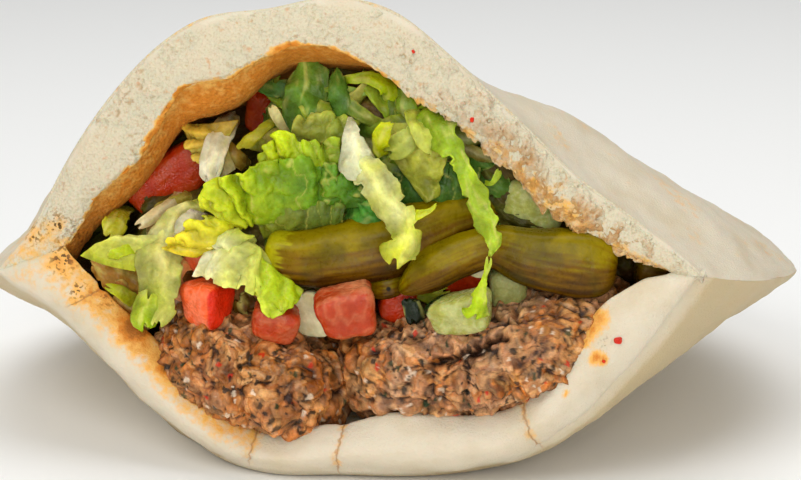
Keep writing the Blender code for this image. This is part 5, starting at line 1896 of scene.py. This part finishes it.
RUFFLES = {
    "frilly": Ruffle(
        [(-21.5, -5, 50.5), (-20.5, -6, 51), (-19.5, -6, 51.5), (-18, -5, 51.5), (-14.5, -4, 52),
         (-8.5, -4, 54.5), (-1.5, -3, 55), (8, -3, 56)],
        [(-29.5, -7, 55.5), (-28.5, -8, 59.5), (-24.5, -9, 61.5), (-20, -9, 63), (-15.5, -8, 65.5),
         (-8.5, -6, 66.5), (0, -4, 65), (8.5, -5, 61)],
        ("#C6D62E", "#B8D028", "#A8C822", "#8CB41E", "#74A422", "#5C9226", "#4A7E24", "#44782A"),
        6.5, 2.2, 1.8),
    "frilly_base": Ruffle(
        [(-27.5, -7, 48), (-25, -7, 50), (-21.5, -7, 51)],
        [(-25, -8, 46.5), (-21, -8.5, 48), (-18, -8, 50)],
        ("#D8DCA4", "#D0D88C", "#B8CC4A"), 2, 0.6, 0.6),
    "lime_top": Ruffle(
        [(-17.5, -2, 61), (-11.5, -3, 62), (-6, -3, 62.5), (-0.5, -2, 63.5)],
        [(-18, -3, 65.5), (-13.5, -4.5, 70.5), (-7, -4.5, 69), (-1.5, -3, 69)],
        ("#A8C420", "#B4D016", "#A0C41C", "#7E9C2A"), 4, 1.4, 1.3),
    "over": Ruffle(
        [(-12.5, 2, 69), (-7, 2, 67.5), (0, 2, 66.5)],
        [(-11.5, 3, 72), (-5.5, 4, 73.5), (1.5, 4, 71.5)],
        ("#A8B450", "#9AAE40", "#7C9434"), 2.5, 1, 0.8),
    "under": Ruffle(
        [(-17.5, -2, 48), (-10, -2, 49.5), (-1, -2, 51.5)],
        [(-18.5, -3.5, 54.5), (-10.5, -4, 56.5), (0, -4, 56.5)],
        ("#7E8E28", "#6C8030", "#5A7428"), 4, 0.8, 0.8),
    "hanging": Ruffle(
        [(-27.5, -6, 48), (-22.5, -7, 49), (-17.5, -8, 48), (-15.5, -9, 45), (-8, -8, 39)],
        [(-30.5, -9, 41.5), (-24, -11, 40.5), (-19, -12, 39.5), (-13.5, -12.5, 34.5), (-8.5, -10, 37)],
        ("#E2E2B4", "#D6DE84", "#CCDC62", "#B8D82C", "#A8CC18"), 5, 1.2, 1.0),
    "yellow": Ruffle(
        [(-22.5, -5, 52.5), (-24, -7, 48), (-30, -8, 45)],
        [(-29, -6, 54), (-32.5, -8, 51.5), (-37, -8, 46.5)],
        ("#C0D024", "#D8D838", "#DCD02C"), 2.2, 0.8, 1.6),
    "left_pale": Ruffle(
        [(-36.5, -2, 48.5), (-39, -5, 44), (-43.5, -6.5, 41)],
        [(-45.5, -4, 48), (-51.5, -6, 46.5), (-55, -7, 44)],
        ("#C4CC7C", "#C0CC54", "#B4C430"), 1.4, 0.7, 0.5),
    "cabbage": Ruffle(
        [(-25, 5, 60.5), (-26.5, 6, 66.5), (-24.5, 7, 70.5)],
        [(-27.5, 3, 59), (-35, 6, 64), (-36.5, 8, 69)],
        ("#D4CC94", "#C2B04C", "#AE9634"), 1.2, 0.7, 0.4),
    "olive": Ruffle(
        [(6.5, 2, 72), (8.5, 1, 65.5), (16, -1, 56.5)],
        [(17.5, 2, 73), (19.5, 0, 66), (18, 0, 58)],
        ("#B0BC50", "#A6B044", "#8C9C30"), 1.6, 0.8, 0.5),
    "upper_right": Ruffle(
        [(7.5, 6, 70), (13.5, 5, 69.5), (20, 6, 67)],
        [(6.5, 8, 77.5), (12.5, 7, 78), (18.5, 7, 74.5)],
        ("#5F7C28", "#7C942C", "#8AAA2C"), 3, 1, 0.8),
    "behind_right": Ruffle(
        [(9, 3, 54.5), (17, 2, 55.5), (26, 4, 57.5)],
        [(8.5, 5, 64), (17, 3, 64.5), (26, 5, 63)],
        ("#3A6426", "#44702A", "#557F32"), 4, 1, 0.8),
}

KOFTAS = [
    Kofta("kofta_left", [(-19.4, -13.5, 19.3), (-20.5, 5, 19.5), (-23, 45, 18), (-25, 92, 17)],
          21.8, 11.4, -20.0, 0.6, 3, (), ((-12.5, 15.5, 9.5, 2.6), (-24, 20, 7, 1.2))),
    Kofta("kofta_right", [(26.4, -11.5, 24.6), (26.5, 8, 24), (24, 48, 19.5), (21, 94, 18)],
          31.2, 12.0, 13.5, 0.25, 17, (((18.8, 25.1), (32.8, 31.4)),),
          ((8, 20, 7, 1.2), (28, 20, 8, 1.6), (-5, 23, 7, 2.6))),
]

PEPPERS = [
    Pepper("pepper_left", [(-17, -3, 45.2, 4.6), (-10, -3, 44.2, 5.6), (0, -2, 45.6, 6.4), (10.5, 1, 48, 6.5),
                           (20, 5, 51.5, 5.4), (30, 9, 53.5, 3.6)], 4.5, 1),
    Pepper("pepper_right", [(11, -4, 38.5, 2.2), (16.5, -4, 42.5, 4.1), (23, -3, 46, 4.2),
                            (29.5, -2, 48.2, 4.2), (36.5, -1, 46.2, 5.6), (45, 1, 44.8, 6.6),
                            (54, 3, 43.6, 6.6)], 0.0, 2),
    Pepper("pepper_stub", [(3, 2, 38.5, 2.6), (7, 1, 38.5, 3.3), (11, 2.5, 40, 2.6)], 0.0, 3),
    Pepper("pepper_far", [(57, 12, 42.5, 4.6), (62, 13, 41.5, 4.2), (66, 20, 40.5, 3.4)], 0.0, 4),
]

TOMATO, DEEP, SHADED = Vegetable.TOMATO, Vegetable.DEEP_TOMATO, Vegetable.SHADED_TOMATO
CUCUMBER, ONION = Vegetable.CUCUMBER, Vegetable.ONION
DICE = [
    Dice("tomato_1", TOMATO, (-28.8, -5.5, 34.8), (8.4, 8.2, 8.8), (8, 4, -28), (1, 0, 0)),
    Dice("tomato_2", TOMATO, (-31.5, -1.0, 43.4), (4.4, 6.0, 5.6), (0, 5, -15)),
    Dice("tomato_3", DEEP, (-15.2, -6.0, 31.9), (8.8, 7.6, 7.2), (18, 14, 20), (0, 0, -1)),
    Dice("tomato_4", DEEP, (-0.2, -6.5, 34.6), (10.8, 8.2, 9.6), (14, -12, 12), (-1, 0, 0)),
    Dice("tomato_5", SHADED, (8.2, 3.0, 34.2), (6.8, 7.0, 7.4), (4, 10, 25)),
    Dice("tomato_6", SHADED, (22.0, 4.5, 40.2), (8.0, 7.0, 6.5), (10, 8, 15)),
    Dice("tomato_7", SHADED, (37.5, 7.5, 38.6), (6.0, 6.0, 6.0), (0, 20, 35)),
    Dice("tomato_8", SHADED, (-41.5, 13.0, 55.5), (18.5, 8.0, 9.0), (0, -34, 10), squareness=4.0),
    Dice("tomato_9", SHADED, (-33.0, 18.0, 58.5), (6.0, 6.0, 6.5), (0, 12, 10)),
    Dice("tomato_10", SHADED, (-22.5, 24.0, 68.5), (9.0, 8.0, 9.0), (0, 18, 0)),
    Dice("tomato_11", SHADED, (-3.5, 20.0, 75.5), (7.5, 6.0, 4.5), (0, -10, 0)),
    Dice("cucumber_1", CUCUMBER, (23.2, -6.0, 35.2), (11.8, 8.0, 7.0), (12, -12, -12), (-1, 0.2, 0.6)),
    Dice("cucumber_2", Vegetable.PICKLE, (31.4, 1.5, 38.4), (6.8, 6.5, 8.8), (0, 0, 20), squareness=4.0),
    Dice("cucumber_3", CUCUMBER, (35.5, 9.0, 54.4), (12.0, 7.0, 8.5), (0, 24, 14), (0.4, 0, -1)),
    Dice("onion_1", ONION, (-8.2, -2.8, 32.4), (6.5, 3.4, 9.0), (10, -14, -10)),
    Dice("onion_2", ONION, (26.6, 5.0, 44.0), (5.0, 3.0, 4.4), (0, 30, 0)),
    Dice("fried_piece", Vegetable.FRIED, (-22.8, 2.5, 33.4), (6.6, 6.0, 6.0), (6, 10, 10)),
]


# ---------------- studio


@dataclass(frozen=True)
class Studio:
    """A pale floor, soft light and the camera at the photograph's angle.

    Attributes:
        azimuth, elevation: from which the camera looks, in degrees from the front and above the floor.
        distance: of the camera from its target, in metres.
        target: what it looks at.
        pixels_per_metre: of the photograph at the target.
        floor_side: in metres.
        lit: what the lights look at.
    """

    azimuth: float = 10.0
    elevation: float = 14.0
    distance: float = 0.560
    target: Place = (0.0075, -0.03855, 0.042)
    pixels_per_metre: float = 4710.0
    floor_side: float = 3.0
    lit: Place = (0.0, -0.03, 0.04)

    def backwards(self) -> Vector:
        """The direction from the target to the camera."""
        a, e = math.radians(self.azimuth), math.radians(self.elevation)
        return Vector((math.sin(a) * math.cos(e), -math.cos(a) * math.cos(e), math.sin(e)))

    def add_camera(self) -> None:
        """Adds the camera, whose lens gives the photograph's pixels per metre at the target."""
        data = bpy.data.cameras.new("camera")
        data.sensor_fit = "HORIZONTAL"
        data.sensor_width = 36.0
        data.lens = data.sensor_width * self.pixels_per_metre * self.distance / IMAGE_WIDTH
        data.clip_start = 0.01
        camera = bpy.data.objects.new("camera", data)
        camera.location = Vector(self.target) + self.distance * self.backwards()
        camera.rotation_mode = "QUATERNION"
        camera.rotation_quaternion = (-self.backwards()).to_track_quat("-Z", "Y")
        bpy.context.scene.collection.objects.link(camera)
        bpy.context.scene.camera = camera

    def add_light(self, name: str, place: Place, size: float, watts: float) -> None:
        """Adds a square area light that looks at the sandwich.

        Args:
            name: the light's name.
            place: where it is, in metres.
            size: its side in metres.
            watts: its power.
        """
        data = bpy.data.lights.new(name, "AREA")
        data.size = size
        data.energy = watts
        light = bpy.data.objects.new(name, data)
        light.location = place
        light.rotation_mode = "QUATERNION"
        light.rotation_quaternion = (Vector(self.lit) - Vector(place)).to_track_quat("-Z", "Y")
        bpy.context.scene.collection.objects.link(light)

    def add_floor(self) -> None:
        """Adds the floor, a plain sheet of matt card."""
        s = Surface("card_matt_white", Roughness=0.9)
        s.shader.inputs["Base Color"].default_value = linear("#F4F4F2")
        half = self.floor_side / 2
        mesh = bpy.data.meshes.new("floor")
        mesh.from_pydata([(-half, -half, 0), (half, -half, 0), (half, half, 0), (-half, half, 0)], [],
                         [(0, 1, 2, 3)])
        mesh.materials.append(s.material)
        floor = bpy.data.objects.new("floor", mesh)
        bpy.context.scene.collection.objects.link(floor)

    def build(self) -> None:
        """Adds all of it, and the pale world."""
        self.add_floor()
        self.add_camera()
        self.add_light("key", (-0.35, -0.75, 0.75), 0.6, 3.9)
        self.add_light("front", (0.22, -0.82, 0.22), 0.5, 2.7)
        self.add_light("top", (0.05, 0.1, 0.9), 0.8, 4.6)
        world = bpy.data.worlds.new("pale_studio")
        world.use_nodes = True
        background = world.node_tree.nodes["Background"]
        background.inputs["Color"].default_value = linear("#FFFFFF")
        background.inputs["Strength"].default_value = 0.40
        bpy.context.scene.world = world
        bpy.context.scene.view_settings.view_transform = "Standard"


def main() -> None:
    """Builds the studio and every piece, and writes down how large the model is."""
    logging.basicConfig(level=logging.INFO, format="%(message)s")
    # The studio brings its own lights and camera.
    for obj in list(bpy.context.scene.objects):
        if obj.type in ("LIGHT", "CAMERA"):
            bpy.data.objects.remove(obj, do_unlink=True)
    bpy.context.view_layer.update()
    Studio().build()
    bread = PitaBread()
    surface = bread.build()
    materials = {name: finish.material() for name, finish in FINISHES.items()}
    new_piece("chilli_flecks", flecks(surface), materials["meat"])
    fillings = [*((kofta, "meat") for kofta in KOFTAS), *((pepper, "pickled_pepper") for pepper in PEPPERS),
                *((dice, dice.kind.value[0]) for dice in DICE)]
    for filling, slot in fillings:
        new_piece(filling.name, filling.shape(), materials[slot], (filling.name,))
    SaladBed(bread).build(materials)


if __name__ == "__main__":
    main()
